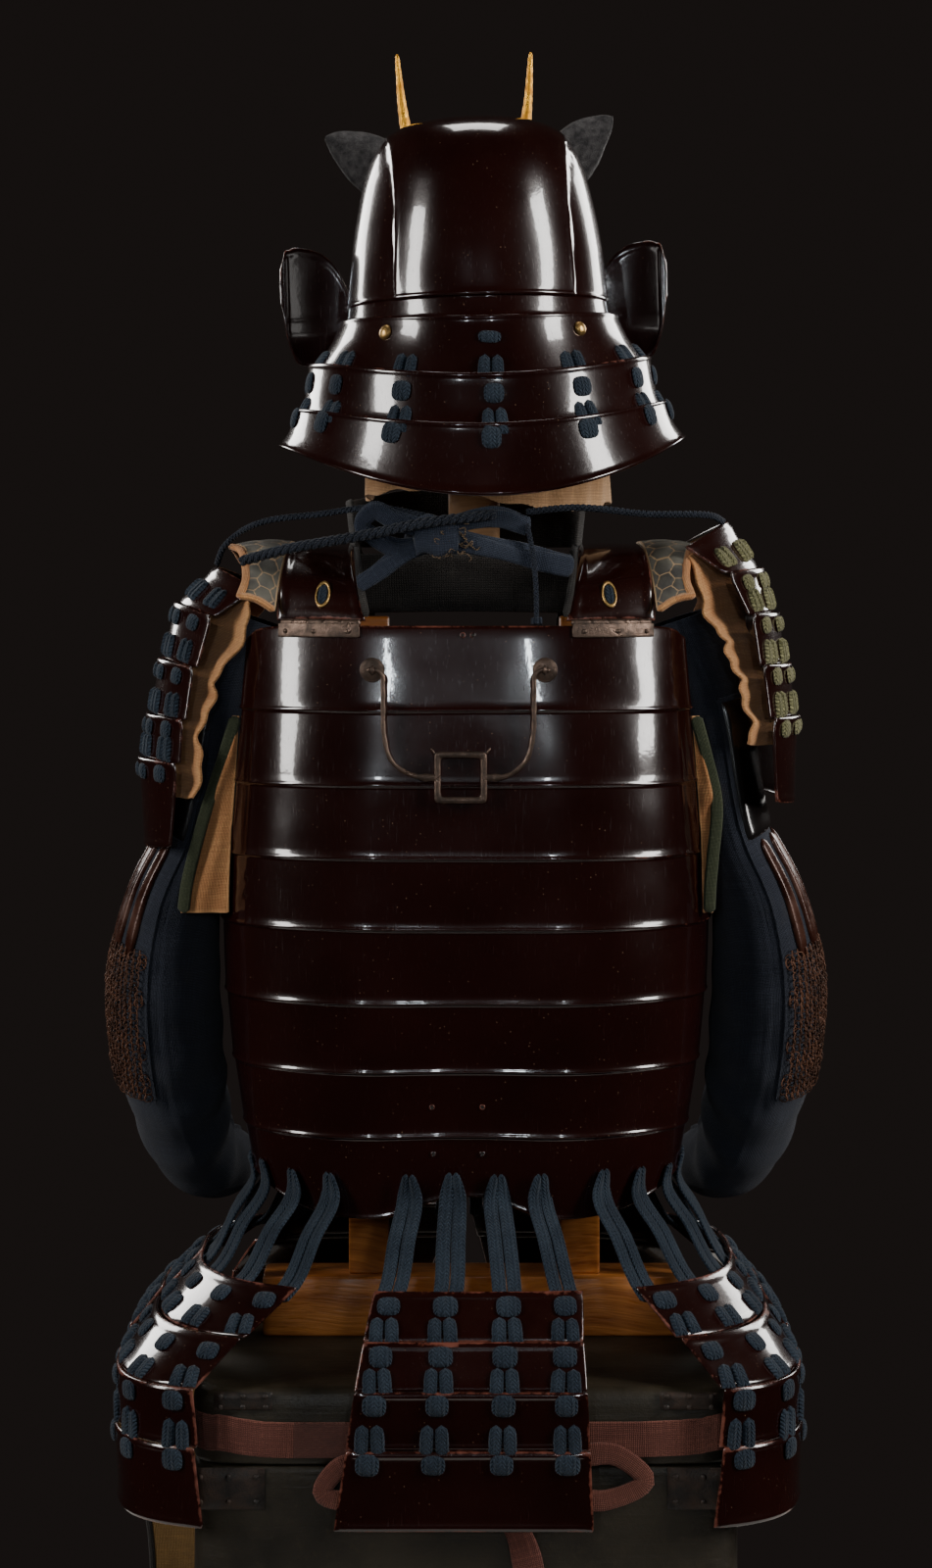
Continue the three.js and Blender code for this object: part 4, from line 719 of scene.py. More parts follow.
def hem(angle):
    """Height of the lower edge: an arch at the spine, and a rise toward the sides."""
    return 565 + 20 * np.exp(-(angle / 12) ** 2) + 34 * np.sin(np.radians(angle)) ** 4


def lame_rows(top, edges, foot):
    """Heights down a plate as shares between its edges, close together at each lip, and how far
    each one stands out: a lame swells toward its lower edge, ends in a bead, and steps back."""
    shares = np.array([0.0, 0.03, 0.2, 0.45, 0.7, 0.86, 0.93])
    rows, lifts, worn = [], [], []
    stops = [top, *edges, foot]
    for number, (high, low) in enumerate(zip(stops, stops[1:])):
        length = high - low
        beads = np.array([4.2, 3.2, 2.2, 1.2, 0.4, 0.0])
        rows += list(high - 0.9 - (length - 6) * shares) if number else list(high - (length - 6) * shares)
        lifts += list(0.05 + 1.0 * shares ** 1.5)
        worn += [0.0] * len(shares)
        rows += list(low + beads)
        lifts += [1.15, 1.5, 2.0, 2.15, 1.75, 1.0]
        worn += [0.0, 0.15, 0.62, 0.85, 0.8, 0.3]
    return np.array(rows), np.array(lifts), np.array(worn)


# %% [markdown]
# ## Back plate
# Eight lames of iron, riveted into one rigid plate and lacquered over. Each lame's lower edge
# is a rolled bead whose lacquer has worn pale: the thin light lines across the back. A raised
# border runs along the neck and the armholes, and a welt runs down where the side plates join.

# %% Back plate
def trunk_grid(shares, rows, lifts, reach_table, middle, top_fall, bottom):
    """The plate as a grid: angle = middle + share·reach(z), with the hem as its last height."""
    share, z = np.meshgrid(shares, rows)
    lift = np.broadcast_to(lifts[:, None], z.shape)
    span = rows[0] - rows[-1]
    foot = bottom(share) - rows[-1]
    z = z + foot * np.clip((LAME_EDGES[-1] - z) / (LAME_EDGES[-1] - rows[-1]), 0, 1)
    z = z - top_fall(share) * np.clip((z - LAME_EDGES[0]) / (rows[0] - LAME_EDGES[0]), 0, 1) ** 2
    reach = straight(reach_table, z)
    z = z + 0.5 * ripple(share * 90, z, int(span) % 97, 18) * np.clip((rows[0] - z) / 40, 0, 1)
    return middle + share * reach, z, lift


back_rows, back_lifts, back_worn = lame_rows(BACK_TOP, LAME_EDGES, 565.0)
back_shares = np.unique(np.concatenate([steps(113, -1, 1), [-0.985, 0.985, -0.965, 0.965, -0.995, 0.995]]))
angle, z, lift = trunk_grid(back_shares, back_rows, back_lifts, BACK_EDGE, 0,
                            lambda s: 13 * np.abs(s) ** 9, lambda s: hem(s * 90))
border = np.maximum(np.exp(-(((1 - np.abs(back_shares))[None] * 190 - 4.5) / 3.2) ** 2) * (z > 832),
                    np.exp(-((BACK_TOP - z - 4.5) / 3.0) ** 2))
welt = np.exp(-((np.abs(angle) - 58) / 0.75) ** 2) * ((z > 806) & (z < 990))
outside = torso(angle, z, lift + 1.3 * border + 0.9 * welt)
inside = torso(angle, z, -2.2)
worn = back_worn[:, None] * (0.75 + 0.25 * ripple(angle, z, 5, 9)) + 0.25 * border + 0.25 * welt
plate = shell(outside, 2.2, np.clip(worn, 0, 1), inner=inside, rim_wear=0.9)


def back_point(x, z, out=0.0):
    """The point of the back at a given X, solved from x = half·sin^0.8."""
    half = read(TORSO, z)[0]
    return torso(np.degrees(np.arcsin(power(x / half, 1.25))), z, out)


hole_x = np.array([-27.8, 13.4, -26.6, 13.4, -2.6, 5.4])
hole_z = np.array([660.0, 660.0, 621.0, 621.0, 1047.5, 1047.5])
places, frames = on_surface(lambda u, v: back_point(u, -v, 1.0), hole_x, -hole_z)
eyelets = copies(ring_form(1.9, 0.5, 12, 6), places, frames)
eyelets = (*eyelets[:3], np.full(len(eyelets[0]), 0.9))
piece("back_plate_lames", joined(plate, eyelets), lacquer, ["back_plate"])
# Painted shade: a flat black disc in each eyelet stands for the dark inside of the hole.
piece("back_holes_painted_dark", copies(dome(3, 10), places + frames[:, 2] * 0.15, frames, (1.5, 1.5, 0.25)),
      black_cloth)

# %% [markdown]
# ## Front plate
# The other half of the trunk, seen from the sides and the front. It is made as the back is,
# lower at the neck and cut deeper at the arms.

# %% Front plate
front_rows, front_lifts, front_worn = lame_rows(1000, LAME_EDGES[1:], 547.0)
front_shares = steps(65, -1, 1)
share, z = np.meshgrid(front_shares, front_rows)
z = z + (hem(0) - 18 + 32 * share ** 4 - 547) * np.clip((634 - z) / (634 - 547), 0, 1)
angle = 180 + share * straight(FRONT_EDGE, z)
border = np.maximum(np.exp(-(((1 - np.abs(share)) * 150 - 4.5) / 3.2) ** 2) * (z > 832),
                    np.exp(-((1000 - z - 4.5) / 3.0) ** 2))
outside = torso(angle, z, front_lifts[:, None] + 1.3 * border)
worn = front_worn[:, None] * (0.75 + 0.25 * ripple(angle, z, 6, 9)) + 0.25 * border
front = shell(outside, 2.2, np.clip(worn, 0, 1), inner=torso(angle, z, -2.2), rim_wear=0.9)
piece("front_plate_lames", front, lacquer, ["front_plate"])

# %% [markdown]
# ## Lacing
# Flat braid holds the lames together. Where it comes out of a lame it lies as a square pad, and
# where it goes down under the next lame's upper edge its two halves lie side by side with a slit
# between them. Both are small templates that are copied onto every plate.

# %% Lacing templates
def strand_pad(rows=9, columns=9, top=0.55):
    """One half of a laced loop: width = (1 − y^3)^0.5 near its rounded top, full at its foot, and
    height = (1 − s^4)^0.5 across it."""
    y, s = np.meshgrid(steps(rows, 1, -1), steps(columns, -1, 1), indexing="ij")
    rise = np.clip((y - 0.1) / 0.9, 0, 1)
    wide = np.sqrt(np.clip(1 - top * rise ** 2 - (1 - top) * rise ** 6, 0, 1))
    high = np.sqrt(np.clip(1 - s ** 4, 0, 1)) * np.sqrt(np.clip(1 - 0.94 * np.abs(y) ** 5, 0, 1))
    return form(np.stack([s * wide * 0.48, y, high - 0.15], -1), [quads(rows, columns)],
                np.stack([s * wide * 0.48, y], -1))


def moved(made, by, turned=0.0):
    """A template moved in its own plane and turned a little about its height."""
    points, faces, flat, worn = made
    c, s = np.cos(turned), np.sin(turned)
    return points @ np.array([[c, s, 0], [-s, c, 0], [0, 0, 1]]) + by, faces, flat, worn


LOOP = joined(moved(strand_pad(), (-0.5, 0, 0), -0.05), moved(strand_pad(), (0.5, 0, 0), 0.05))
KNOT = dome(6, 16, 3.0)


def laced(surface, u, v, template, size, seed=1):
    """Copies of a lacing template at (u, v) of a surface, each a little different in size."""
    u, v = np.broadcast_arrays(np.asarray(u, float), np.asarray(v, float))
    places, frames = on_surface(surface, u.ravel(), v.ravel())
    rng = np.random.default_rng(seed)
    sizes = np.array(size) * rng.uniform(0.93, 1.06, (len(places), 3))
    tilt = rng.uniform(-0.07, 0.07, len(places))
    c, s = np.cos(tilt)[:, None], np.sin(tilt)[:, None]
    frames = np.stack([frames[:, 0] * c + frames[:, 1] * s, frames[:, 1] * c - frames[:, 0] * s,
                       frames[:, 2]], 1)
    return copies(template, places, frames, sizes)


# %% [markdown]
# ## Helmet bowl
# The bowl is a tall dome, a little deeper than it is wide. A broad plate runs over it from back
# to front and overlaps the side plates, and a band runs round its foot. It is drawn upright and
# then turned a few degrees, as it sits on the stand.

# %% Helmet bowl
def on_stand(points):
    """Roll −1.5° about Y, turn 3.3° about Z, then up to the head block at (11, 12, 1308)."""
    roll, yaw = np.radians([-1.5, 3.3])
    a = np.array([[np.cos(roll), 0, np.sin(roll)], [0, 1, 0], [-np.sin(roll), 0, np.cos(roll)]])
    b = np.array([[np.cos(yaw), -np.sin(yaw), 0], [np.sin(yaw), np.cos(yaw), 0], [0, 0, 1]])
    return np.asarray(points) @ (b @ a).T + [11, 12, 1308]


def seated(made):
    """A form drawn round the helmet's own middle, set on the stand."""
    return (on_stand(made[0]), *made[1:])


BOWL = [(0, 0, 114), (1, 23, 110.5), (2, 63, 106.5), (3, 97, 101), (4, 131, 93), (5, 155, 82), (6, 170, 64),
        (7, 177.5, 36), (8, 179.6, 0.4)]


def bowl(angle, t, out=0.0):
    """x = half·sin and y = −1.11·half·cos, raised 1.9 mm on the middle plate and 1.3 over the band."""
    z, half = read(BOWL, t)
    turn = np.radians(angle)
    side = np.abs(half * np.sin(turn))
    edge = np.where(np.cos(turn) > 0, 73, 72) + 1.2 * np.sin(z / 22)
    over = np.clip((edge - side) / 0.9, 0, 1) * 1.9 + 0.5 * np.exp(-((side - edge + 2.4) / 1.7) ** 2)
    band = 1.3 * np.clip((z - 18.4) / 0.8, 0, 1) + 0.7 * np.exp(-((z - 20.6) / 1.5) ** 2)
    foot = 0.9 * np.exp(-((z - 1.5) / 1.5) ** 2)
    reach = half + (over * np.clip((z - 17.6) / 1.2, 0, 1) + band + foot) * np.clip(half / 40, 0, 1) + out
    return np.stack([reach * np.sin(turn), -1.11 * reach * np.cos(turn), z + 0 * turn], -1)


heights = np.unique(np.concatenate([steps(60, 0, 8), steps(16, 0.7, 1.0), steps(8, 0, 0.15),
                                    [7.2, 7.5, 7.8]]))[::-1]
turns = np.unique(np.concatenate([steps(109, 0, 360)[:-1]] + [m + s * np.array([39, 40.5, 42, 43.5, 45.5,
                                                                                48, 52])
                                                             for m in (0, 180, 360) for s in (-1, 1)]) % 360)
angle, t = np.meshgrid(turns, heights)
outside = bowl(angle, t)
z, half = read(BOWL, t)
side = np.abs(half * np.sin(np.radians(angle)))
worn = 0.62 * np.exp(-((side - 71.5) / 1.2) ** 2) * (z > 20) + 0.66 * np.exp(-((z - 19.6) / 1.3) ** 2)
worn = np.clip(worn + 0.62 * (z < 2), 0, 1) * (0.8 + 0.3 * ripple(angle, z, 8, 12))
inner = outside * (1 - 2.6 / np.maximum(np.linalg.norm(outside, axis=-1, keepdims=True), 20))
dome_wall = shell(outside, 2.6, np.clip(worn, 0, 1), inner=inner, closed=True, rim_wear=0.3)
piece("helmet_bowl_plates", seated(dome_wall), lacquer, ["helmet_bowl"])

# %% [markdown]
# ## Neck guard
# Three curved lames hang from the bowl and flare over the shoulders. Each has a rolled lower
# edge, and its upper edge stands over the one above, which hides the ends of the lacing.

# %% Neck guard
NECK_GUARD = [[(0, 1, 8, 118.3, 131.9), (1, -26, -12, 128, 137), (2, -52, -34, 144, 143)],
              [(0, -47, -28, 146, 145.2), (1, -78, -58, 151, 149), (2, -92, -72, 157, 153)],
              [(0, -88, -66, 159, 155), (1, -118, -84, 165, 160), (2, -147, -97, 174, 166)]]
NECK_REACH = [116, 113, 110]


def neck(number, angle, v, out=0.0):
    """x = half·sin, y = −depth·cos, and z goes from the rear height to the side one by sin²."""
    rear, side, half, deep = read(NECK_GUARD[number], np.clip(v, 0, 2))
    turn = np.radians(angle)
    across = np.sin(np.minimum(np.abs(turn), np.pi / 2)) ** 2
    return np.stack([(half + out) * np.sin(turn), -(deep + out) * np.cos(turn),
                     rear * (1 - across) + side * across], -1)


neck_lames, neck_pads = [], []
for number in range(3):
    v = np.concatenate([[0, 0.02, 0.045, 0.075, 0.12], steps(12, 0.2, 1.7),
                        [1.8, 1.87, 1.92, 1.95, 1.975, 2]])
    bead = 1.5 * np.exp(-((v - 1.93) / 0.07) ** 2) + 1.1 * np.exp(-((v - 0.05) / 0.06) ** 2)
    reach = NECK_REACH[number]
    shares = power(steps(141, -1, 1), 0.96)
    a, down = np.meshgrid(shares * reach, v)
    end = 1.0 * np.exp(-(((1 - np.abs(a) / reach) * 230 - 4) / 3) ** 2)
    grid = neck(number, a, down, bead[:, None] + end)
    worn = (0.68 * np.exp(-((v - 1.94) / 0.05) ** 2) + 0.62 * np.exp(-((v - 0.03) / 0.04) ** 2))[:, None]
    worn = np.clip(worn * (0.9 + 0.35 * ripple(a, down * 30, number, 14)) + 0.3 * end, 0, 1)
    neck_lames.append(piece(f"neck_lame_{number + 1}", seated(shell(grid, 2.2, worn, rim_wear=0.75)), lacquer,
                            [f"neck_guard_plate_{number + 1}"]))
    columns = np.array([-100, -80, -58, -30, 0, 30, 58, 80, 100.0])
    columns = columns + np.array([0, 0.6, -0.7])[number]
    here = lambda u, w, n=number: neck(n, u, w, 0.6)
    if number < 2:
        neck_pads.append(laced(here, columns, [1.66, 1.56][number], LOOP, (11.0, 12.0, 3.2), number + 3))
    if number > 0:
        neck_pads.append(laced(here, columns, [0, 0.5, 0.4][number], KNOT, (8.8, 8.8, 3.2), number + 7))
neck_pads.append(laced(lambda u, w: neck(0, u, w, 0.5), 0, 0.66, KNOT, (10, 5.2, 2.6), 11))
piece("neck_lacing", seated(joined(*neck_pads)), blue_braid)
rivets = laced(lambda u, w: neck(0, u, w, 0.4), np.array([-42.5, 38.5]), 0.55, dome(7, 20),
               (6.3, 6.3, 4.2), 12)
piece("neck_rivets", seated(rivets), brass)

# %% [markdown]
# ## Turn-backs, peak, ears and horns
# The first lame's front ends are bent back into rounded wings. The peak shades the brow. The
# ears are hollow-looking leaf shapes of rough iron, and the horns are gilded wood with grooves.

# %% Turn-backs and peak
WING = [(0, -8, 34), (0.18, -20, 58), (0.4, -26, 72), (0.65, -25, 77), (0.86, -14, 76), (0.96, 10, 70),
        (1, 30, 58)]
t, share = np.meshgrid(1 - steps(45) ** 1.6, steps(33))
t = t[:, ::-1]
low, high = read(WING, t)
wing = np.stack([107.5 + 61 * t, 62.4 - 18 * t ** 2, high * (1 - share) + low * share], -1)
edge = np.minimum(np.minimum(share, 1 - share) * (high - low), (1 - t) * 61)
wing = wing + outward(wing) * (1.1 * np.exp(-((edge - 3.4) / 1.8) ** 2))[..., None]
worn = 0.55 * np.exp(-((edge - 3) / 1.8) ** 2)
right_wing = shell(wing, 2.2, worn, rim_wear=0.9)
piece("turnback_right_lame", seated(right_wing), lacquer, ["turnback_right"])
piece("turnback_left_lame", seated(mirrored(right_wing)), lacquer, ["turnback_left"])

PEAK = [(0, 0.8, 9), (1, 22, 2), (2, 46, -9)]
t, v = np.meshgrid(steps(61), steps(21, 0, 2))
out, z = read(PEAK, v)
turn = np.radians(126 + 108 * t)
reach = 1 - 0.35 * (2 * t - 1) ** 4
peak = np.stack([(115.2 + out * reach) * np.sin(turn), -(127.9 + out * reach) * np.cos(turn), z], -1)
peak = peak + outward(peak) * (1.2 * np.exp(-((v - 1.86) / 0.08) ** 2))[..., None]
piece("peak_plate", seated(shell(peak, 2.2, 0.6 * np.exp(-((v - 1.9) / 0.06) ** 2))), lacquer,
      ["helmet_peak"])

# %% Ears and horns
def ear_form(tip, seed):
    """A leaf of iron: a bar swept along a bent line, thick at the bowl and pointed at its tip,
    with a hammered skin from uneven ripples."""
    path = smooth_path([(72, 58, 141), (84, 60, 150), (108, 61, 150 * 0.4 + tip * 0.6), (127, 60, tip)], 41)
    t = steps(41)
    points, faces, flat, worn = sweep(path, 25.5 * (1 - t ** 2.1) ** 0.8 + 0.8, 13.5 * (1 - t ** 1.7) + 0.8,
                                      (0, 1, 0), 40, blunt=0.4)
    bumps = ripple(flat[:, 0] + points[:, 1], flat[:, 1], seed, 3.2) * 0.45 + ripple(flat[:, 0],
                                                                                     flat[:, 1], seed, 11)
    way = unit(points - path[np.minimum(np.arange(len(points)) // 40, 40)])
    return points + way * bumps[:, None] * 0.9, faces, flat, worn


piece("ear_right_leaf", seated(ear_form(189, 3)), ear_iron, ["ear_right"])
piece("ear_left_leaf", seated(mirrored(ear_form(176, 4))), ear_iron, ["ear_left"])


def horn_form(seed):
    """A tapering horn: radius from 8.6 to 1.5 mm, with ridges across it as a growing horn has."""
    path = smooth_path([(46, 115, 90), (46.5, 116, 110), (50, 114, 160), (57, 110, 215), (60, 108, 255)], 90)
    t = steps(90)
    ridges = 1 + 0.035 * np.sin(t * 120) + 0.03 * ripple(t * 90, t * 7, seed, 5)
    return sweep(path, (8.9 - 7.2 * t ** 1.15) * ridges, (6.4 - 5.0 * t) * ridges, (0, 1, 0), 24)


piece("horn_right_gilt", seated(horn_form(1)), gilding, ["horn_right"])
piece("horn_left_gilt", seated(mirrored(horn_form(2))), gilding, ["horn_left"])

# %% [markdown]
# ## Helmet liner
# A curtain of hemp hangs inside the bowl and shows below the neck guard. It is a grid whose
# radius waves a little more toward its free hem.

# %% Helmet liner
LINER = [(0.6, 110, 121, 0), (40, 106, 104, 1.5), (95, 104, 92, 3), (148, 103, 84, 5)]
t, drop = np.meshgrid(steps(110), steps(30, 0.6, 148))
half, deep, wave = read(LINER, drop)
turn = (2 * t - 1) * np.radians(112)
fold = wave * (np.sin(turn * 5.3 + 0.6) + 0.5 * np.sin(turn * 9.1) + 0.25 * np.sin(turn * 23 + drop / 30))
low = np.clip((drop - 110) / 38, 0, 1) * (9 * np.sin(turn) + 5 * np.sin(turn * 3) + 1.5 * np.sin(turn * 17))
liner = np.stack([(half + fold) * np.sin(turn), -(deep + fold) * np.cos(turn), -drop - low], -1)
liner_piece = piece("liner_curtain", seated(shell(liner, 1.6, rim_wear=0.3)), liner_hemp,
                    ["helmet_liner"])

# %% [markdown]
# ## Shoulder straps
# A lacquered strap goes over each shoulder, from the hinge on the back plate to the front. Its
# rim is a raised bead, a dark padded edge runs inside it, and a brass-rimmed slot takes a cord.

# %% Shoulder straps
STRAP = [(0, -118.5, 1061.8, 84, 156, 27), (1, -98, 1090, 90, 154, 14), (2, -62, 1114, 94, 151, 4),
         (3, -22, 1122, 96, 149, 0), (4, 24, 1122, 96, 146, 0), (5, 66, 1104, 92, 138, 0),
         (6, 92, 1066, 86, 130, -3), (7, 106, 1030, 82, 124, -6), (8, 118, 1002.7, 80, 120, -8)]


def strap_point(t, v, out=0.0):
    """Across: from the inner edge at t = 0 to the outer at 1. Along: v is the table's row."""
    y, z, low, high, sweep_back = read(STRAP, v)
    return np.stack([low + (high - low) * t, y + sweep_back * t, z - 1.5 * (2 * t - 1) ** 2 + out], -1)


t, v = np.meshgrid(steps(21, 1, 0), steps(61, 0, 8))
edge = np.minimum(np.minimum(t, 1 - t) * 68, np.minimum(v, 8 - v) * 32)
strap_grid = strap_point(t, v)
strap_grid = strap_grid + outward(strap_grid) * (1.2 * np.exp(-((edge - 3.6) / 1.9) ** 2))[..., None]
right_strap = shell(strap_grid, 3.0, 0.5 * np.exp(-((edge - 3) / 2) ** 2) * (0.7 + 0.5 * ripple(t * 60,
                                                                                                v * 30, 2,
                                                                                                9)))
inner_edge = [strap_point(-0.05, v, -1.5) for v in steps(60, 0.15, 7.8)]
border = sweep(inner_edge, 3.2, 2.2, (0, 0, 1), 10)
slot_at, slot_frames = on_surface(lambda u, w: strap_point(-u, w, 1.2), np.array([-0.45]), np.array([0.62]))
slot = copies(ring_form(1.0, 0.16, 24, 8), slot_at, slot_frames, (5.6, 10.5, 6))
plug = copies(KNOT, slot_at + slot_frames[:, 2] * -0.6, slot_frames, (4.2, 8.6, 2.6))
for side, turned in (("right", lambda f: f), ("left", mirrored)):
    piece(f"strap_{side}_plate", turned(right_strap), lacquer, [f"shoulder_strap_{side}"])
    piece(f"strap_{side}_border", turned(border), black_cloth)
    piece(f"strap_{side}_slot", turned(slot), brass)
    piece(f"strap_{side}_plug", turned(plug), blue_braid)

# %% [markdown]
# ## Hinges
# Under each strap a pin runs through barrels on the back plate's top edge. The barrels are short
# tubes with a gap between them, so the joint of plate and strap reads as a real hinge.

# %% Hinges
hinge_angles = steps(61, 21.0, 47.0)
hinge_line = torso(hinge_angles, BACK_TOP + 3.5, -0.5)
share = steps(61)
barrel = np.where(np.abs(((share * 5) % 1) - 0.5) > 0.44, 1.9, 3.1)
right_hinge = sweep(hinge_line, barrel, barrel, (0, 0, 1), 14)
leaf = torso(hinge_angles[None], np.array([1056.5, 1052, 1047.5, 1046])[:, None],
             np.array([2.6, 2.4, 2.4, 2.2])[:, None])
leaf_form = shell(leaf, 0.9, rim_wear=0.6)
pins = on_surface(lambda u, w: torso(u, -w, 3.0), np.array([24.0, 34.0, 44.0]), np.full(3, -1050.5))
heads = copies(dome(4, 12), *pins, (2.0, 2.0, 1.2))
for side, turned in (("right", lambda f: f), ("left", mirrored)):
    piece(f"hinge_{side}_barrels", turned(joined(right_hinge, leaf_form, heads)), forged_iron,
          [f"hinge_{side}"])

# %% [markdown]
# ## Studs and bracket
# Two domed studs carry a forged square bracket, which takes the foot of a banner pole. Its arms
# hang down, turn in, and are welded to a square frame with small leaf ends. It swings outward.

# %% Studs and bracket
PIN_Y = -136.26


def stud_form(x):
    seat = torso(np.degrees(np.arcsin(power(x / read(TORSO, 1019.3)[0], 1.25))), 1019.3, 1.6)
    base = np.stack([[1, 0, 0], [0, 0, 1], [0, -1, 0]]).astype(float)[None]
    seat = seat[None] + [0, -1.4, 0]
    plate_disc = copies(dome(7, 28, 2.0), seat, base, (10, 10, 2.4))
    petals = copies(ring_form(9.2, 0.9, 28, 6), seat + [0, -0.3, 0], base)
    lug = sweep([seat[0] + [0, 1, 0], seat[0] + [0, -3, 0], [x, PIN_Y + 1.5, 1019.3],
                 [x, PIN_Y - 2.6, 1019.3]],
                [3.2, 2.8, 2.8, 3.0], [3.6, 3.2, 3.4, 3.2], (0, 0, 1), 14)
    eye = copies(ring_form(3.0, 1.25, 18, 8), [[x, PIN_Y, 1019.3]],
                 np.array([[[0, 1, 0], [0, 0, 1], [1, 0, 0]]]))
    return joined(plate_disc, petals, lug, eye)


piece("stud_left_disc", stud_form(-76.0), forged_iron, ["stud_left"])
piece("stud_right_disc", stud_form(64.0), forged_iron, ["stud_right"])

FRAME_LEFT, FRAME_RIGHT, FRAME_TOP, FRAME_LOW = -25.8, 17.1, 953.4, 911.3
middle_x = (FRAME_LEFT + FRAME_RIGHT) / 2


def arm_form(x, side):
    """An arm: hook through the stud's eye, down, a curve inward, and a flat end on the frame."""
    line = [(x + side * 4.5, 1019.3), (x - side * 3, 1019.3), (x - side * 7.5, 1015.8),
            (x - side * 8.5, 1005),
            (x - side * 8.7, 990), (x - side * 9.5, 967), (x - side * 16, 945), (middle_x + side * 38, 934),
            (middle_x + side * 27, 932.2), (middle_x + side * 19.5, 932.4)]
    path = smooth_path([(a, PIN_Y, b) for a, b in line], 90)
    t = steps(90)
    wide = (1.9 + 0.15 * np.sin(t * 60) + 1.6 * np.exp(-((t - 0.93) / 0.03) ** 2)
            + 1.2 * np.clip((t - 0.95) / 0.05, 0, 1))
    return sweep(path, wide, 1.9, (0, -1, 0), 14, 2.4)


def bar_frame(left, right, top, low, wide, deep):
    """A square frame as one closed bar: a rounded square path with a rounded square section."""
    a = steps(97, 0, 2 * np.pi)[:-1][:, None]
    b = steps(13, 0, 2 * np.pi)[:-1][None]
    cx, cz = power(np.cos(a), 0.16), power(np.sin(a), 0.16)
    half_x, half_z = (right - left) / 2 - wide, (top - low) / 2 - wide
    reach = wide * power(np.cos(b), 0.6)
    grid = np.stack([(left + right) / 2 + cx * (half_x + reach), PIN_Y + deep * power(np.sin(b), 0.6) + 0 * a,
                     (top + low) / 2 + cz * (half_z + reach)], -1)
    index = np.arange(grid.shape[0] * grid.shape[1]).reshape(grid.shape[:2])
    faces = np.stack([index, np.roll(index, -1, 1), np.roll(np.roll(index, -1, 0), -1, 1),
                      np.roll(index, -1, 0)],
                     -1).reshape(-1, 4)
    return form(grid, [faces[:, ::-1]], worn=np.full(grid.shape[:2], 0.3))


scallops = [sweep([(middle_x + sx * 21.4, PIN_Y, FRAME_TOP - 1.5),
                   (middle_x + sx * 23.8, PIN_Y, FRAME_TOP + 2.4)],
                  1.6, 1.6, (0, -1, 0), 10) for sx in (-1, 1)]
piece("bracket_forged", joined(bar_frame(FRAME_LEFT, FRAME_RIGHT, FRAME_TOP, FRAME_LOW, 2.6, 2.1), *scallops,
                               arm_form(-76.0, -1), arm_form(64.0, 1)), forged_iron, ["bracket"],
      "bracket")

# %% [markdown]
# ## Shoulder guards
# Five curved lames hang from each shoulder, each laced outside the one above. Blue-grey braid
# laces the left guard, and worn olive braid the right one. A lining of tan hemp hangs inside,
# and its rear edge has shrunk into waves.

# %% Shoulder guards
GUARD_LEFT = [[(0, 176, 1086, 38, 18), (1, 209, 1063.5, 35, 11)],
              [(0, 213, 1062, 35, 11), (1, 224.5, 1020.5, 34, 6)],
              [(0, 228, 1019, 34, 6), (1, 234, 976.5, 35, 3)], [(0, 237, 975, 35, 3), (1, 239, 940.5, 37, 2)],
              [(0, 242, 939, 37, 2), (0.27, 243, 920, 35, 0), (1, 247, 871, 28, -4)]]
GUARD_RIGHT = [[(0, 184, 1120, 40, 22), (1, 216, 1099.5, 33, 4)],
               [(0, 220, 1098, 33, 4), (1, 236, 1064.5, 27, 1)],
               [(0, 239.5, 1063, 27, 1), (1, 245.5, 1022, 28, 0)],
               [(0, 248.5, 1020.5, 28, 0), (1, 254, 978, 27, 0)],
               [(0, 257, 976.5, 27, 0), (0.3, 257.5, 956, 25, 0), (1, 259.5, 908, 21, -4)]]
GUARD_COLUMNS = np.array([-0.8, -0.42, 0.0, 0.42, 0.8])


def guard(rows, share, v, out=0.0):
    """x = edge + bow·(1 − share²), y = −75·share, z = edge + rise·(1 − share²)."""
    x, z, bow, rise = read(rows, v) if len(rows) > 2 else [
        np.interp(v, [0, 1], [rows[0][k], rows[1][k]]) for k in (1, 2, 3, 4)]
    lift = 1 - share ** 2
    return np.stack([x + bow * lift + out, -75 * share, z + rise * lift], -1)


def guard_forms(lames):
    plates, loops, knots = [], [], []
    for number, rows in enumerate(lames):
        v = np.concatenate([[0, 0.03, 0.07, 0.12], steps(9, 0.2, 0.8), [0.88, 0.93, 0.97, 1]])
        share, down = np.meshgrid(steps(31, 1, -1), v)
        height = abs(rows[-1][2] - rows[0][2])
        edge = np.minimum(np.minimum(down, 1 - down) * height, (1 - np.abs(share)) * 75)
        grid = guard(rows, share, down, 1.0 * np.exp(-((edge - 2.6) / 1.6) ** 2))
        grid[..., 0] += np.clip(1 - down * 6, 0, 1) * (1.5 if number else 0)
        worn = 0.6 * np.exp(-((edge - 2) / 1.6) ** 2) * (0.8 + 0.5 * ripple(share * 75, down * height,
                                                                            number, 8))
        plates.append(shell(grid, 2.6, np.clip(worn, 0, 1), rim_wear=0.85))
        face = lambda u, w, r=rows: guard(r, -u, w, 0.8)
        length = max(height, 26)
        if number < 4:
            loops.append(laced(face, GUARD_COLUMNS, 1 - 10.5 / length, LOOP, (9.4, 10.5, 3.6), number + 2))
        if number:
            knots.append(laced(face, GUARD_COLUMNS, 8.6 / length, KNOT, (8.0, 7.4, 3.4), number + 9))
    return joined(*plates), joined(*loops, *knots)


right_plates, right_laces = guard_forms(GUARD_RIGHT)
left_plates, left_laces = [mirrored(made) for made in guard_forms(GUARD_LEFT)]
piece("guard_right_lames", right_plates, lacquer, ["shoulder_guard_right"])
piece("guard_right_lacing", right_laces, olive_braid)
piece("guard_left_lames", left_plates, lacquer, ["shoulder_guard_left"])
piece("guard_left_lacing", left_laces, blue_braid)

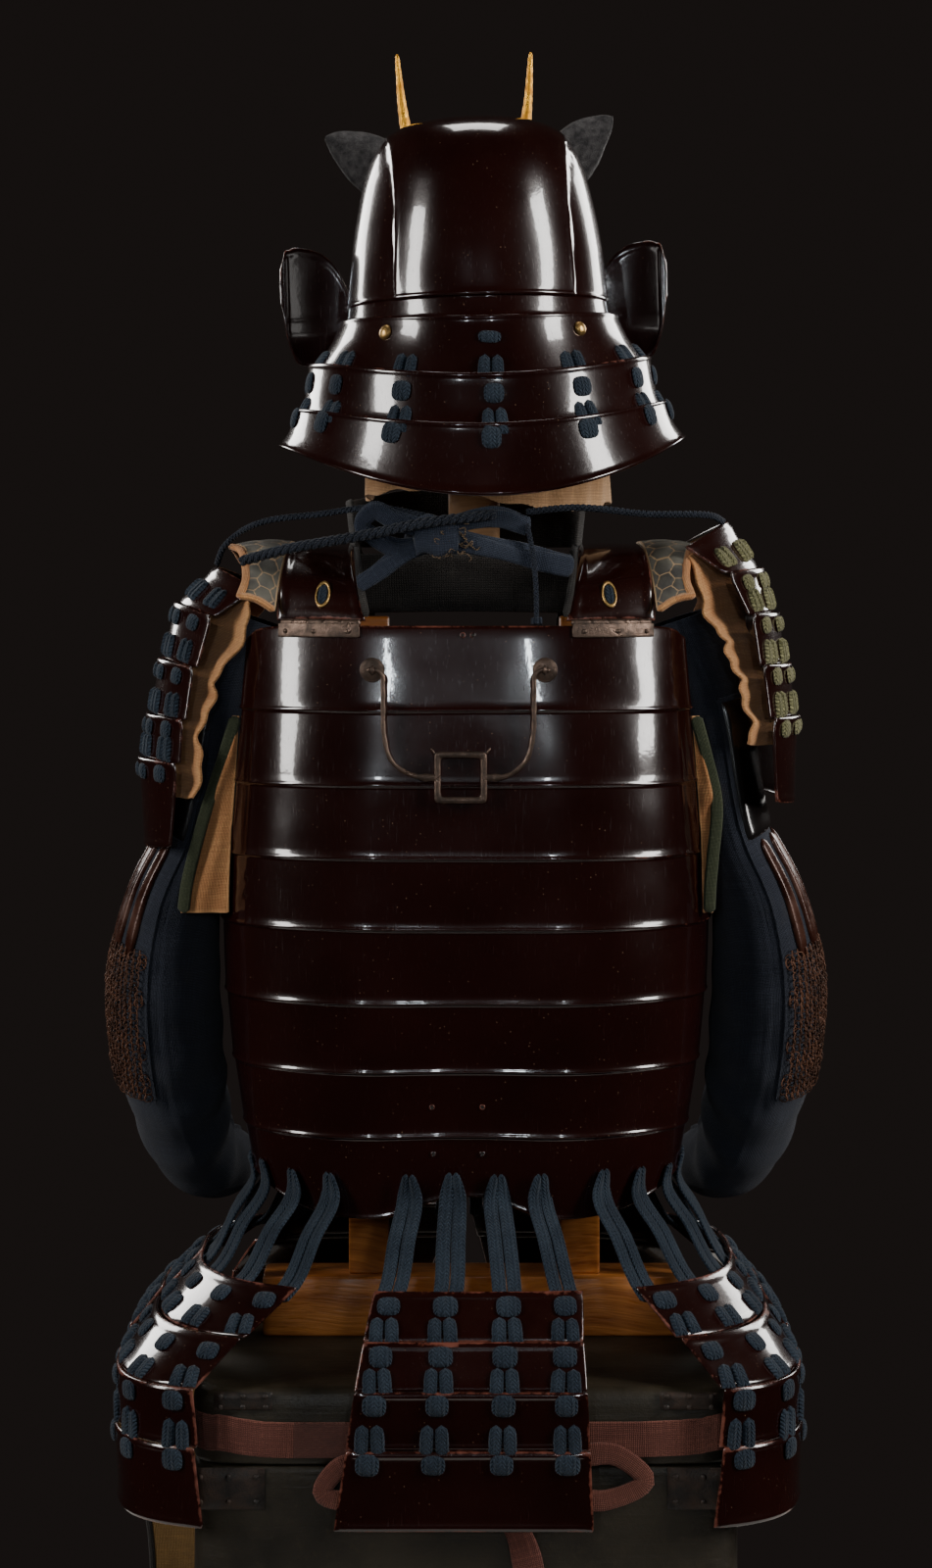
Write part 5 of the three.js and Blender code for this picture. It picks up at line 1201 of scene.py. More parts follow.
# %% Guard linings
LINING_LEFT = [(0, 177, 1079.6, 37, 17), (1, 190, 1050, 35, 10), (2, 204, 1019, 34, 5), (3, 216, 998, 33, 3),
               (4, 221, 972, 33, 2), (5, 227, 944, 33, 0), (6, 228, 912, 33, 0)]
LINING_RIGHT = [(0, 184.3, 1111.8, 39, 21), (1, 204, 1074, 33, 3), (2, 210, 1051, 30, 0),
                (3, 224, 1036, 28, 0),
                (4, 226, 1017, 28, 0), (5, 236, 1000, 27, 0), (6, 239, 978, 27, 0), (7, 240, 955, 27, 0)]
for side, rows, turned in (("right", LINING_RIGHT, lambda f: f), ("left", LINING_LEFT, mirrored)):
    share, v = np.meshgrid(steps(33, 1, -1), steps(50, 0, len(rows) - 1))
    x, z, bow, rise = read(rows, v)
    rear = np.clip((np.abs(share) - 0.55) / 0.45, 0, 1)
    wave = rear * (4.0 * np.sin(v * 3.1 + share) + 1.6 * np.sin(v * 7.3 + 1.0))
    half = 73 + 1.8 * np.sin(v * 4.1)
    grid = np.stack([x + bow * (1 - share ** 2) + wave - 2.5 * rear, -half * share,
                     z + rise * (1 - share ** 2)], -1)
    cloth = shell(grid, 3.2, rim_wear=0.35)
    lining = piece(f"lining_{side}_cloth", turned(cloth), tan_hemp, [f"guard_lining_{side}"])

# %% [markdown]
# ## Shoulder pads
# The pads carry on outward from the straps. They are leather over small hexagonal plates, and a
# cream cord is sewn round each hexagon. The rim is bound with tan cloth.

# %% Shoulder pads
PAD = [(0, -99, 1067, 158, 186, 12), (1, -84, 1089, 155.8, 182, 6), (2, -58, 1112, 151.8, 187, 3),
       (3, -20, 1122, 149.8, 198, -2), (4, 22, 1122, 147.3, 198, -5), (5, 60, 1106, 140.8, 190, -4),
       (6, 78, 1090, 135.8, 168, 0)]
HEX = 11.5


def pad_point(t, v, out=0.0):
    """Across: from the strap at t = 0 outward to 1. Along: v is the table's row. Crowned 3 mm."""
    y, z, low, high, rise = read(PAD, v)
    return np.stack([low + (high - low) * t, y + 0 * t,
                     z + rise * t + 3 * np.sin(np.pi * np.clip(t, 0, 1)) + out], -1)


def hexagon_share(x, y):
    """How far a point is from the middle of its hexagon, from 0 to 1 at the hexagon's edge."""
    best = np.full(np.broadcast(x, y).shape, 9.0)
    for shift_x, shift_y in ((0, 0), (1.5 * HEX, HEX * 0.866)):
        a = (x - shift_x + 1.5 * HEX) % (3 * HEX) - 1.5 * HEX
        b = (y - shift_y + HEX * 0.866) % (HEX * 1.732) - HEX * 0.866
        reach = np.maximum(np.abs(b), np.maximum(np.abs(0.866 * a + 0.5 * b), np.abs(0.866 * a - 0.5 * b)))
        best = np.minimum(best, reach / (0.866 * HEX))
    return best


t, v = np.meshgrid(steps(57, 1, 0), steps(151, 0, 6))
across, along = t * 38, v * 36
share = hexagon_share(across + 4, along)
edge = np.minimum((1 - t) * 38, np.minimum(v, 6 - v) * 36)
pad_grid = pad_point(t, v, 2.0 * np.sqrt(np.clip(1 - share ** 4, 0,
                                                 1)) + 0.9 * np.clip((share - 0.93) / 0.05, 0, 1))
pad_worn = np.clip(np.where(share > 0.925, 1.0, 0.0) + (edge < 4) * 1.0, 0, 1)
pad_form = shell(pad_grid, 3.4, pad_worn)
binding_path = np.concatenate([pad_point(steps(20, 0.02, 1), np.zeros(20)),
                               pad_point(np.ones(60), steps(60, 0, 6)),
                               pad_point(steps(16, 1, 0.02), np.full(16, 6.0))])
binding = sweep(binding_path, 3.6, 3.0, (0, 0, 1), 12)
for side, turned in (("right", lambda f: f), ("left", mirrored)):
    pad = piece(f"pad_{side}_leather", turned(pad_form), grey_leather,
                [f"shoulder_pad_{side}"])
    piece(f"pad_{side}_binding", turned(binding), tan_hemp)

# %% [markdown]
# ## Sleeves
# Each sleeve is a tube of blue hemp that bends forward at the elbow. Its centre line and its two
# half widths come from a table. The folds are sines across the bend, deepest inside the elbow,
# and a flat felled seam runs down the rear.

# %% Sleeves
SLEEVE = [(0, 180, 0, 1058, 32, 50), (1, 202, 0, 990, 35, 55), (2, 217, 0, 905, 33, 58.5),
          (3, 227, 0, 868, 33, 58.5),
          (4, 248, 2, 816, 38, 58.5), (5, 257, 8, 750, 46, 61), (6, 254, 30, 672, 45, 60),
          (7, 244, 54, 617, 40, 52),
          (8, 232, 92, 584, 34, 43), (9, 214, 145, 572, 28, 36)]


def sleeve(turn, v, out=0.0):
    """Centre + side·(across + out)·cos(turn) + front·(along + out)·sin(turn), with turn in degrees
    from the outward side toward the front."""
    turn, v, out = np.broadcast_arrays(np.asarray(turn, float), v, out)
    x, y, z, across, along = read(SLEEVE, v)
    ahead, behind = read(SLEEVE, np.minimum(v + 0.5, 9)), read(SLEEVE, np.maximum(v - 0.5, 0))
    way = unit(np.stack([ahead[k] - behind[k] for k in range(3)], -1))
    side = unit(-np.cross([0.0, 1, 0], way))
    front = -np.cross(side, way)
    side = side * np.where(side[..., :1] < 0, -1, 1)
    front = front * np.where(front[..., 1:2] + front[..., 2:] < 0, -1, 1)
    c, s = np.cos(np.radians(turn)), np.sin(np.radians(turn))
    return (np.stack([x, y, z], -1) + side * ((across + out) * c)[..., None]
            + front * ((along + out) * s)[..., None])


turn, v = np.meshgrid(steps(97, -180, 180)[:-1], steps(130, 0, 9))
bend = np.exp(-((v - 6.6) / 1.6) ** 2)
inner_side = 0.4 + 0.6 * np.cos(np.radians(turn + 130)) ** 2
creases = (np.sin(v * 9.5 + np.sin(np.radians(turn)) * 2.2) * 2.3 * bend * inner_side
           + 2.2 * ripple(turn / 2.2, v * 22, 31, 17) + 0.9 * ripple(turn, v * 60, 32, 19))
creases = creases * np.clip(v / 1.5, 0, 1) * np.clip((v + 4) / 10, 0.4, 1) - 0.8
felled = 0.9 * np.exp(-((turn + 96 - 6 * np.sin(v / 2)) / 2.2) ** 2)
tight = np.where((v < 6.2) & (np.abs(turn) < 84), 0.15, 1.0)
sleeve_form = shell(sleeve(turn, v, creases * tight + felled), 1.8, closed=True, rim_wear=0.4)
for side, turned in (("right", lambda f: f), ("left", mirrored)):
    made = piece(f"sleeve_{side}_cloth", turned(sleeve_form), blue_hemp, [f"sleeve_{side}"])

# %% [markdown]
# ## Splints and mail
# The outer side of each arm is guarded by a rusted plate at the shoulder, five narrow splints
# above the elbow and a field of mail below it. The mail is real rings: one ring of 21 faces,
# copied along rows, every second row turned the other way, so the rows look linked.

# %% Splints and mail
def arm_surface(turn_share, v, out=0.0):
    return sleeve(np.asarray(turn_share) * 77, v, out)


share, v = np.meshgrid(steps(25, -1, 1), steps(50, 1, 6))
ground = shell(arm_surface(share, v, 1.9 + 0.4 * ripple(share * 60, v * 60, 41, 9)), 1.2, rim_wear=0.2)
plate_share, plate_v = np.meshgrid(steps(29, -0.93, 0.93), steps(34, 1.05, 2.95))
bulge = np.clip(1 - np.maximum(np.abs(plate_share) / 0.93, np.abs(plate_v - 2) / 0.95) ** 6, 0, 1)
upper_plate = shell(arm_surface(plate_share, plate_v, 2.0 + 3.6 * bulge ** 0.5), 1.6, rim_wear=0.6)
splints = []
for number in range(5):
    middle = -0.66 + 0.33 * number
    s, v = np.meshgrid(steps(11, -1, 1), steps(30, 3.02, 4.62))
    tip = np.sqrt(np.clip(1 - np.abs((v - 3.82) / 0.8) ** 7, 0.02, 1))
    wide = (0.098 + 0.012 * np.sin(number * 2.1)) * tip
    splints.append(shell(arm_surface(middle + s * wide, v,
                                     2.6 + 3.4 * np.sqrt(np.clip(1 - s ** 4, 0, 1)) * tip), 1.2,
                         0.6 * np.abs(s) ** 6, rim_wear=0.5))
ring_rows, ring_columns = 40, 23
column, row = np.meshgrid(np.arange(ring_columns), np.arange(ring_rows))
along = (column + 0.5 * (row % 2)) / (ring_columns - 0.5) * 1.9 - 0.95
down = 4.55 + row / (ring_rows - 1) * 1.42
rng = np.random.default_rng(7)
ragged = (np.abs(along) < 0.97 - 0.10 * rng.random(along.shape)) & (rng.random(along.shape) > 0.03)
spots, frames = on_surface(lambda u, w: arm_surface(u, w, 3.2), along[ragged], down[ragged])
tilt = np.where((row % 2)[ragged] == 0, 0.65, -0.65) + rng.uniform(-0.2, 0.2, ragged.sum())
spots = (spots + frames[:, 2] * rng.uniform(-0.4, 0.9, (len(spots), 1))
         + frames[:, 0] * rng.uniform(-0.5, 0.5, (len(spots), 1)))
c, s = np.cos(tilt)[:, None], np.sin(tilt)[:, None]
frames = np.stack([frames[:, 0] * c - frames[:, 2] * s, frames[:, 1], frames[:, 0] * s + frames[:, 2] * c], 1)
mail = copies(ring_form(3.7, 0.62, 7, 3), spots, frames)
wires = [sweep(arm_surface(np.full(30, -0.66 + 0.33 * k), steps(30, 4.55, 5.98), 3.4), 0.5, 0.5, (0, 0, 1), 5)
         for k in range(5)]
for side, turned in (("right", lambda f: f), ("left", mirrored)):
    piece(f"arm_{side}_ground", turned(ground), blue_hemp, [f"arm_guard_{side}"])
    piece(f"arm_{side}_plate", turned(upper_plate), black_lacquer)
    piece(f"arm_{side}_splints", turned(joined(*splints)), splint_iron)
    piece(f"arm_{side}_mail", turned(joined(mail, *wires)), mail_iron)

# %% [markdown]
# ## Underarm cloth
# Tan hemp closes the gap between the back plate and the sleeve. It is stained, it sags in
# shallow folds, and its outer edge is bound in green.

# %% Underarm cloth
UNDER_RIGHT = [(978, 194), (945, 203), (909, 211), (860, 208), (838, 206), (815, 205)]
UNDER_LEFT = [(978, 194), (940, 206), (900, 219), (860, 230), (838, 235), (815, 238)]


def underarm_forms(rows, seed):
    z = steps(60, 978, 815)[:, None]
    outer = read(rows, z)[0]
    t = steps(26)[None]
    rim = torso(np.minimum(70, straight(BACK_EDGE, z)), z, 1.4)[..., 0] + 0.6
    folds = 2.4 * ripple(t * 40, z, seed, 11) + 2.0 * np.sin(t * 7 + z / 21) * t
    x = rim * (1 - t) + outer * t
    grid = np.stack([x, -63 - np.sin(t * 5 + z / 30) + folds * np.sin(np.pi * t) * 0.8, z + 0 * t], -1)
    edge = np.stack([outer[:, 0] - 2, grid[:, -1, 1] - 1.2, z[:, 0]], -1)
    strip = sweep(edge, 5.2, 1.7, (0, -1, 0), 12, 3)
    return shell(grid, 1.8), strip


for side, rows, turned in (("right", UNDER_RIGHT, lambda f: f), ("left", UNDER_LEFT, mirrored)):
    cloth, strip = underarm_forms(rows, 51 if side == "right" else 52)
    made = piece(f"underarm_{side}_cloth", turned(cloth), tan_hemp, [f"underarm_{side}"])
    trim = piece(f"underarm_{side}_binding", turned(strip), green_binding)

# %% [markdown]
# ## Skirt
# Seven tassets of four lames hang from the hem on pairs of flat braid. Rings that widen downward
# carry them round the chest, and each tasset takes an arc of the ring. A lame's upper edge
# stands over the lower edge of the one above.

# %% Tassets
SKIRT = [(346, 281, 217, 5, 202, -6), (409, 281, 216, 5, 190, -6), (456, 279, 214, 5, 181, -6),
         (490, 252, 194, 3.6, 173, -4), (523, 222, 169, 2.8, 166, 0), (545, 207, 151, 2.6, 166, 0)]
TASSETS = [(0.0075, -3), (0.168, 1), (0.302, 0), (0.434, 0), (0.566, 0), (0.698, 0), (0.832, -1)]
LAMES = [(523, 490), (489, 455), (454, 409), (408, 346)]


def skirt_ring(z, out):
    """A superellipse ring measured by its length from the middle of the back toward the right."""
    heights = [row[0] for row in SKIRT]
    half, deep, exponent, width, shift = [np.interp(z, heights,
                                                    [row[k] for row in SKIRT]) for k in range(1, 6)]
    turn = steps(721, 0, 2 * np.pi)
    spots = np.stack([shift + (half + out) * power(np.sin(turn), 2 / exponent),
                      -(deep + out) * power(np.cos(turn), 2 / exponent), np.full(721, z)], -1)
    far = np.concatenate([[0], np.cumsum(np.linalg.norm(np.diff(spots, axis=0), axis=1))])
    return spots, far, width


def on_ring(z, out, at, lean, share):
    spots, far, width = skirt_ring(z, out)
    goal = (at * far[-1] + lean + share * width / 2) % far[-1]
    return np.stack([np.interp(goal, far, spots[:, k]) for k in range(3)], -1)


def tasset_point(at, skew, lame, share, v, out=0.0):
    """A point of one lame: v goes from its upper edge to its lower, and it stands out 2.6 mm at
    the top and nothing at the foot."""
    share, v, out = np.broadcast_arrays(np.asarray(share, float), v, out)
    flat_share, flat_v, flat_out = share.ravel(), v.ravel(), out.ravel()
    high, low = LAMES[lame]
    made = np.zeros((len(flat_v), 3))
    for value in np.unique(flat_v):
        pick = flat_v == value
        z = high + (low - high) * value
        lean = (523 - z) * np.tan(np.radians(skew))
        base = on_ring(z, 2.8 * (1 - value), at, lean, flat_share[pick])
        more = on_ring(z, 2.8 * (1 - value) + 1.0, at, lean, flat_share[pick]) - base
        made[pick] = base + unit(more) * flat_out[pick][:, None]
    return made.reshape(*share.shape, 3)


PAD_SHARES = np.array([-0.84, -0.30, 0.30, 0.84])
for number, (at, skew) in enumerate(TASSETS):
    plates, pads = [], []
    for lame, (high, low) in enumerate(LAMES):
        long = high - low
        v = np.unique(np.concatenate([[0, 1.2 / long, 2.4 / long, 4 / long, 6 / long, 1 - 1.2 / long,
                                       1 - 3 / long,
                                       1 - 5 / long, 1], steps(7, 0.18, 0.85)]))
        share, down = np.meshgrid(steps(31, -1, 1), v)
        edge = np.minimum(np.minimum(down, 1 - down) * long, (1 - np.abs(share)) * 88)
        buckle = 0.5 * ripple(share * 80, down * long, number * 5 + lame, 22)
        grid = tasset_point(at, skew, lame, share, down, 1.1 * np.exp(-((edge - 2.6) / 1.5) ** 2) + buckle)
        worn = 0.72 * np.exp(-((edge - 1.6) / 1.7) ** 2) * (0.85 + 0.5 * ripple(share * 80, down * long,
                                                                                number, 9))
        plates.append(shell(grid, 2.6, np.clip(worn + 0.18 * (down < 0.1), 0, 1), rim_wear=0.95))
        skin = lambda u, w, n=lame, a=at, k=skew: tasset_point(a, k, n, u, w, 0.7)
        shares = PAD_SHARES + np.array([0, -0.01, -0.015, -0.02])[lame] * np.sign(PAD_SHARES)
        pads.append(laced(skin, shares, 9.6 / long, KNOT, (9.6, 8.4, 3.6), number * 4 + lame + 60))
        if lame < 3:
            pads.append(laced(skin, shares, 1 - 7.6 / long, LOOP, (12.2, 10.2 if lame < 2 else 14.0, 3.6),
                              number * 4 + lame + 90))
    piece(f"tasset_{number + 1}_lames", joined(*plates), lacquer, [f"tasset_{number + 1}"])
    piece(f"tasset_{number + 1}_pads", joined(*pads), blue_braid)

# %% [markdown]
# ## Skirt lacing
# Pairs of flat braid run from holes above the hem down behind each tasset's first lame. The two
# braids of a pair lie side by side and narrow to a point at the hole.

# %% Skirt lacing
def hem_point(at, z, out):
    angle = steps(721, 0, 360)
    spots = torso(angle, z, out)
    far = np.concatenate([[0], np.cumsum(np.linalg.norm(np.diff(spots, axis=0), axis=1))])
    goal = (at % 1) * far[-1]
    return np.array([np.interp(goal, far, spots[:, k]) for k in range(3)])


for number, (at, skew) in enumerate(TASSETS):
    braids = []
    top_spots, top_far, top_width = skirt_ring(523, 0)
    for pair, share in enumerate((-0.85, -0.29, 0.29, 0.85)):
        for half in (-1, 1):
            spot = at + share * top_width / 2 / top_far[-1]
            start = hem_point(spot, 606 + 2 * np.sin(number + pair * 2), 2.9)
            mid = hem_point(spot, 588, 3.4)
            end = on_ring(523, -6.3, spot, 0, np.zeros(1))[0]
            foot = on_ring(512, -6.6, spot, 0, np.zeros(1))[0]
            right = unit(np.cross([0, 0, 1.0], -unit(end * [1, 1, 0])))
            along_ring = on_ring(523, 0, spot, 3.0, np.zeros(1))[0] - on_ring(523, 0, spot, 0, np.zeros(1))[0]
            right = right * (1 if np.dot(right, along_ring) > 0 else -1)
            gap = np.array([2.6, 5.0, 6.1, 6.2, 6.2])[:, None] * half * right
            t = np.array([0, 0.14, 0.55, 1, 1])[:, None]
            line = np.stack([start, mid, mid * 0.5 + end * 0.5, end, foot])
            line[2, 2] = 556
            path = smooth_path(line + gap, 44)
            s = steps(44)
            wide = 5.9 * (0.34 + 0.66 * np.clip(s / 0.16, 0, 1) ** 0.7)
            face = unit(np.cross(right, np.gradient(path, axis=0)))
            face = face * np.where(np.sum(face * (path * [1, 1, 0]), axis=1, keepdims=True) < 0, -1, 1)
            braids.append(sweep(path, wide, 1.7, face, 12, 2.6, blunt=0.45))
    piece(f"lacing_{number + 1}_braid", joined(*braids), blue_braid, [f"lacing_{number + 1}"])

# %% [markdown]
# ## Throat guard, shoulder bar and head block
# The throat guard is a black padded collar. The bar is a board padded with dark cloth. The neck
# post and the block inside the helmet are plain wood.

# %% Throat guard, shoulder bar and head block
COLLAR = [(0, 1166, 103), (1, 1145, 101), (2, 1121.5, 99)]
t, v = np.meshgrid(steps(81), steps(16, 0, 2))
angle = np.radians(72 + 216 * t)
z, half = read(COLLAR, v)
grid = np.stack([half * np.sin(angle), -(half - 11) * np.cos(angle),
                 z + 8 * np.cos(2 * angle) * (1 - v / 2)], -1)
piece("throat_guard_collar", shell(grid, 2.8, rim_wear=0.4), black_cloth, ["throat_guard"])


def rounded_bar(path, wide, thick, squareness=4, worn=0.15, face=(0, -1, 0)):
    return sweep(path, wide, thick, face, 24, squareness, worn, blunt=0.7)


s = steps(60, -1, 1)
bar_line = np.stack([168 * s, 2 + 0 * s, 1090.5 - 6 * s ** 2], -1)
ends = np.sqrt(np.clip(1 - np.abs(s) ** 9, 0.08, 1))
piece("shoulder_bar_padding", sweep(bar_line, 25.5 * ends, 21 * ends, (0, -1, 0), 40, 3), black_cloth,
            ["shoulder_bar"])
block = joined(rounded_bar([[7, 4, 1118.2], [7, 4, 1125], [7, 4, 1250], [7, 4, 1376]], 22, 17),
               rounded_bar([[-48, 4, 1330], [-30, 4, 1330], [40, 4, 1330], [62, 4, 1330]], 22, 40, 3,
                           face=(0, 0, 1)))
piece("head_block_wood", block, plain_wood, ["head_block"])

# %% [markdown]
# ## Chest
# The armour sits on the chest it travels in. It is lacquered wood with soft edges, so the lid and
# the body are superellipse rings stacked in rows. Iron plates with rivets cross the sides.

# %% Chest
CHEST_HALF, CHEST_DEEP = 220, 190


def box_form(rows, half, deep, exponent=14):
    """Rings x = half·sgn(s)|s|^(2/exponent), y likewise with c, at each row's z and inset."""
    turn = steps(241, 0, 2 * np.pi)[:-1][None]
    z, inset = [np.array([row[k] for row in rows], float)[:, None] for k in (0, 1)]
    ring = np.stack([(half - inset) * power(np.sin(turn), 2 / exponent),
                     -(deep - inset) * power(np.cos(turn), 2 / exponent), z + 0 * turn], -1)
    return ring


def box_shell(rows, half, deep, exponent=14):
    ring = box_form(rows, half, deep, exponent)
    ring = np.concatenate([ring[:1] * [0.02, 0.02, 1], ring, ring[-1:] * [0.02, 0.02, 1]])
    across = ring[..., 0].ravel()
    return (ring.reshape(-1, 3), [quads(len(ring), ring.shape[1], True)],
            np.stack([across + 2000 * (np.abs(across) > 215), ring[..., 2].ravel()], -1),
            np.zeros(ring.size // 3))


LID_ROWS = [(450, 12), (449.6, 8), (448.4, 5), (446, 2.6), (442, 1), (436, 0), (394, 0), (391.4, 0.6),
            (390.2, 2.4)]
BODY_ROWS = [(388.8, 3), (388, 1.2), (384, 0.3), (370, 0), (200, 0), (12, 0), (4, 0.6), (1, 2), (0.2, 4)]
lid = box_shell(LID_ROWS, CHEST_HALF, CHEST_DEEP)
body = box_shell(BODY_ROWS, CHEST_HALF - 0.6, CHEST_DEEP - 0.6)
piece("chest_lid_box", lid, chest_lacquer, ["chest_lid"])
piece("chest_body_box", body, chest_lacquer, ["chest_body"])


def post(x, half, deep, high, low):
    """An upright with soft edges: a stack of the same rings, set at x and 5 mm to the front."""
    rows = [(high, 2), (high - 0.6, 0.6), (high - 2, 0), (low + 2, 0), (low, 0.6)]
    return moved(box_shell(rows, half, deep, 18), (x, 5, 0))


frame_form = joined(post(7, 180, 28, 500.4, 450.4), post(-83, 17, 15, 1061, 500.4),
                    post(97, 17, 15, 1061, 500.4))
piece("stand_frame_wood", frame_form, stand_wood, ["stand_frame"])
plates, rivets = [], []
for side in (-1, 1):
    for x, z, w, h in [(-177, 441, 46, 14), (177, 441, 46, 14), (-188.5, 371.5, 57, 33),
                       (188.5, 371.5, 57, 33),
                       (-190, 40, 54, 50), (190, 40, 54, 50)]:
        u, v = np.meshgrid(steps(9, -1, 1), steps(7, 1, -1))
        crown = 2.9 * np.clip(1 - np.maximum(np.abs(u), np.abs(v)) ** 9, 0, 1) ** 0.5
        grid = np.stack([x + u * w / 2, side * (189.9 + crown) + 0 * u, z + v * h / 2], -1)
        plates.append(shell(grid if side < 0 else grid[:, ::-1], 0.6, rim_wear=0.8))
        spots = [(x + a * w / 2, side * 192.6, z + b * h / 2) for a in (-0.78, 0, 0.78) for b in (-0.6, 0.6)]
        frame_here = frames_on(np.array([[-side, 0.0, 0]]), np.array([[0.0, side, 0]]))[0]
        rivets.append(copies(dome(5, 12, 2), spots, [frame_here] * 6, (2.4, 2.4, 1.5)))
piece("chest_iron_plates", joined(*plates, *rivets), chest_iron)

# %% [markdown]
# ## Sash and apron
# A red-brown hemp sash goes round the lid and is tied in a bow at the rear. It sags a little between
# the chest's corners. The apron, a lined thigh guard, hangs from it in front of the chest, and a
# dark piping runs round its free edges.

# %% Sash and apron
turn = steps(181, 0, 360)[:-1]
t, v = np.meshgrid(turn, steps(13, 1, -1))
side_wave = 1.6 * ripple(t * 3, v * 8, 71, 34) + 0.9 * ripple(t * 9, v * 5, 72, 21)
c, s = np.cos(np.radians(t)), np.sin(np.radians(t))
sag = 5.5 * (1 - np.clip(np.abs(s * c) * 2.6, 0, 1))
grid = np.stack([(221.4 + 0.4 * side_wave) * power(s, 2 / 14), -(191.4 + 0.6 * side_wave) * power(c, 2 / 14),
                 415.5 + v * 13.5 - sag + 0.7 * side_wave], -1)
sash = piece("sash_band", shell(grid, 2.0, closed=True, rim_wear=0.4), red_hemp, ["sash"])
bows = []
for path, wide, thick in [
        ([(8, -195, 402), (70, -195, 396), (122, -194.6, 398), (142, -194.6, 380), (112, -194.6, 364),
          (60, -195, 374), (8, -195, 384)], 10, 2.2),
        ([(-4, -195, 402), (-62, -195, 392), (-102, -194.6, 388), (-114, -194.6, 370), (-84, -194.6, 362),
          (-40, -195, 374), (-2, -195, 384)], 10, 2.2),
        ([(10, -196, 398), (26, -195.6, 362), (42, -194, 336), (52, -193.4, 300)], 12, 2),
        ([(-20, -195, 404), (0, -195, 404), (22, -195, 402)], 14, 3.4)]:
    line = smooth_path(path, 70)
    bows.append(sweep(line, wide * (0.9 + 0.12 * np.sin(steps(70) * 9)), thick, (0, -1, 0), 16, 3, blunt=0.6))
piece("sash_bow", joined(*bows), red_hemp)

APRON = [(414, -262, 214, 0, 0), (358, -286, 226, 1, .5), (304, -309, 240, 6, 4), (216, -292, 246, 9, 6),
         (130, -288, 244, 10, 6), (27, -284, 240, 10, 7)]
t, z = np.meshgrid(steps(97, 1, 0), steps(61, 414, 27))
left, right, out, wave = read(APRON, z)
x = left + (right - left) * t
folds = 2.2 * ripple(t * 380, z, 81, 60) * np.clip((414 - z) / 60, 0, 1)
grid = np.stack([np.clip(x, -304, 304), 195.6 + out + wave * np.sin(t * 17 + z / 160) + folds, z], -1)
apron_form = shell(grid, 1.8)
hem_line = np.concatenate([grid[:, 0], grid[-1, 1:], grid[::-1, -1][1:]])
piping = sweep(hem_line[::2] + [0, -0.9, 0], 3.0, 1.7, (0, 1, 0), 8, 3)
apron_cloth = piece("apron_cloth", apron_form, apron_hemp, ["thigh_guard"])
trim = piece("apron_piping", piping, black_cloth)

# %% [markdown]
# ## Cords
# Braided cords tie the shoulder guards to the knot behind the neck, and one free end hangs down.
# Each strand turns round the cord, so the twist is real geometry.

# %% Cords
def braided(path, radius, turns, strands=3, count=170):
    """Round strands on a helix about a path: offset = 0.46·radius·(cos, sin) of turns·s + strand."""
    line = smooth_path(path, count)
    way = unit(np.gradient(line, axis=0))
    side = unit(np.cross(way, [0.05, 0.1, 1.0]))
    up = np.cross(side, way)
    made = []
    for strand in range(strands):
        phase = 2 * np.pi * (steps(count) * turns + strand / strands)[:, None]
        near = line + (side * np.cos(phase) + up * np.sin(phase)) * radius * 0.46
        made.append(sweep(near, radius * 0.56, radius * 0.56, side, 8, 2, blunt=0.9))
    return joined(*made)


CORDS = {
    "left_upper": ([(-212, -14, 1105.6), (-206, -27, 1118.5), (-192, -42, 1131), (-172, -64, 1140),
                    (-120, -84, 1147), (-72, -99, 1152), (-34, -111, 1145.3)], 2.8, 16, thin_braid),
    "left_lower": ([(-186, -84, 1108), (-151, -104, 1117), (-84, -118.2, 1129), (-34, -125, 1139),
                    (24, -119.3, 1146.2)], 4.5, 11, thin_braid),
    "right": ([(217.4, -30, 1141.6), (206, -58, 1146), (148.6, -88, 1147), (88, -104, 1152),
               (50, -113, 1148.2)], 3.0, 14, thin_braid),
    "hanging": ([(50, -118.2, 1138), (54, -117.4, 1118), (57, -119, 1090), (57.7, -121, 1059)],
                2.2, 8, thin_braid),
}


def knot_end(place, size):
    """A small ball of cord with three turns round it, at the end of a free strand."""
    ball = dome(8, 20, 2.0)
    turn = steps(90, 0, 2 * np.pi * 3)
    coil = np.stack([np.cos(turn) * size * 0.95, np.sin(turn) * size * 0.95, steps(90, -0.6, 0.6) * size], -1)
    here = frames_on(np.array([[1.0, 0, 0]] * 2), np.array([[0, -1.0, 0], [0, 1.0, 0]]))
    core = copies(ball, np.array([place, place]), here, (size, size, size))
    return joined(core, sweep(coil + np.array(place), size * 0.4, size * 0.4, (0, 0, 1), 8, blunt=0.9))


for name, (path, radius, turns, stuff) in CORDS.items():
    made = braided(path, radius, turns)
    line = smooth_path(path, 400)
    long = float(np.linalg.norm(np.diff(line, axis=0), axis=1).sum()) / 1000
    cord = piece(f"cord_{name}_strands", made, stuff, [f"cord_{name}"])
    if name == "hanging":
        tip = piece("cord_hanging_end_knot", knot_end(path[-1], 3.6), stuff)
    print(name, round(long, 3), "m of cord")

# %% [markdown]
# ## Knot at the nape
# The knot is made of folded hemp strips. Each strip has two layers, and a frayed tuft of thin
# threads stands in its middle. The strip over the bar holds the knot to the stand.

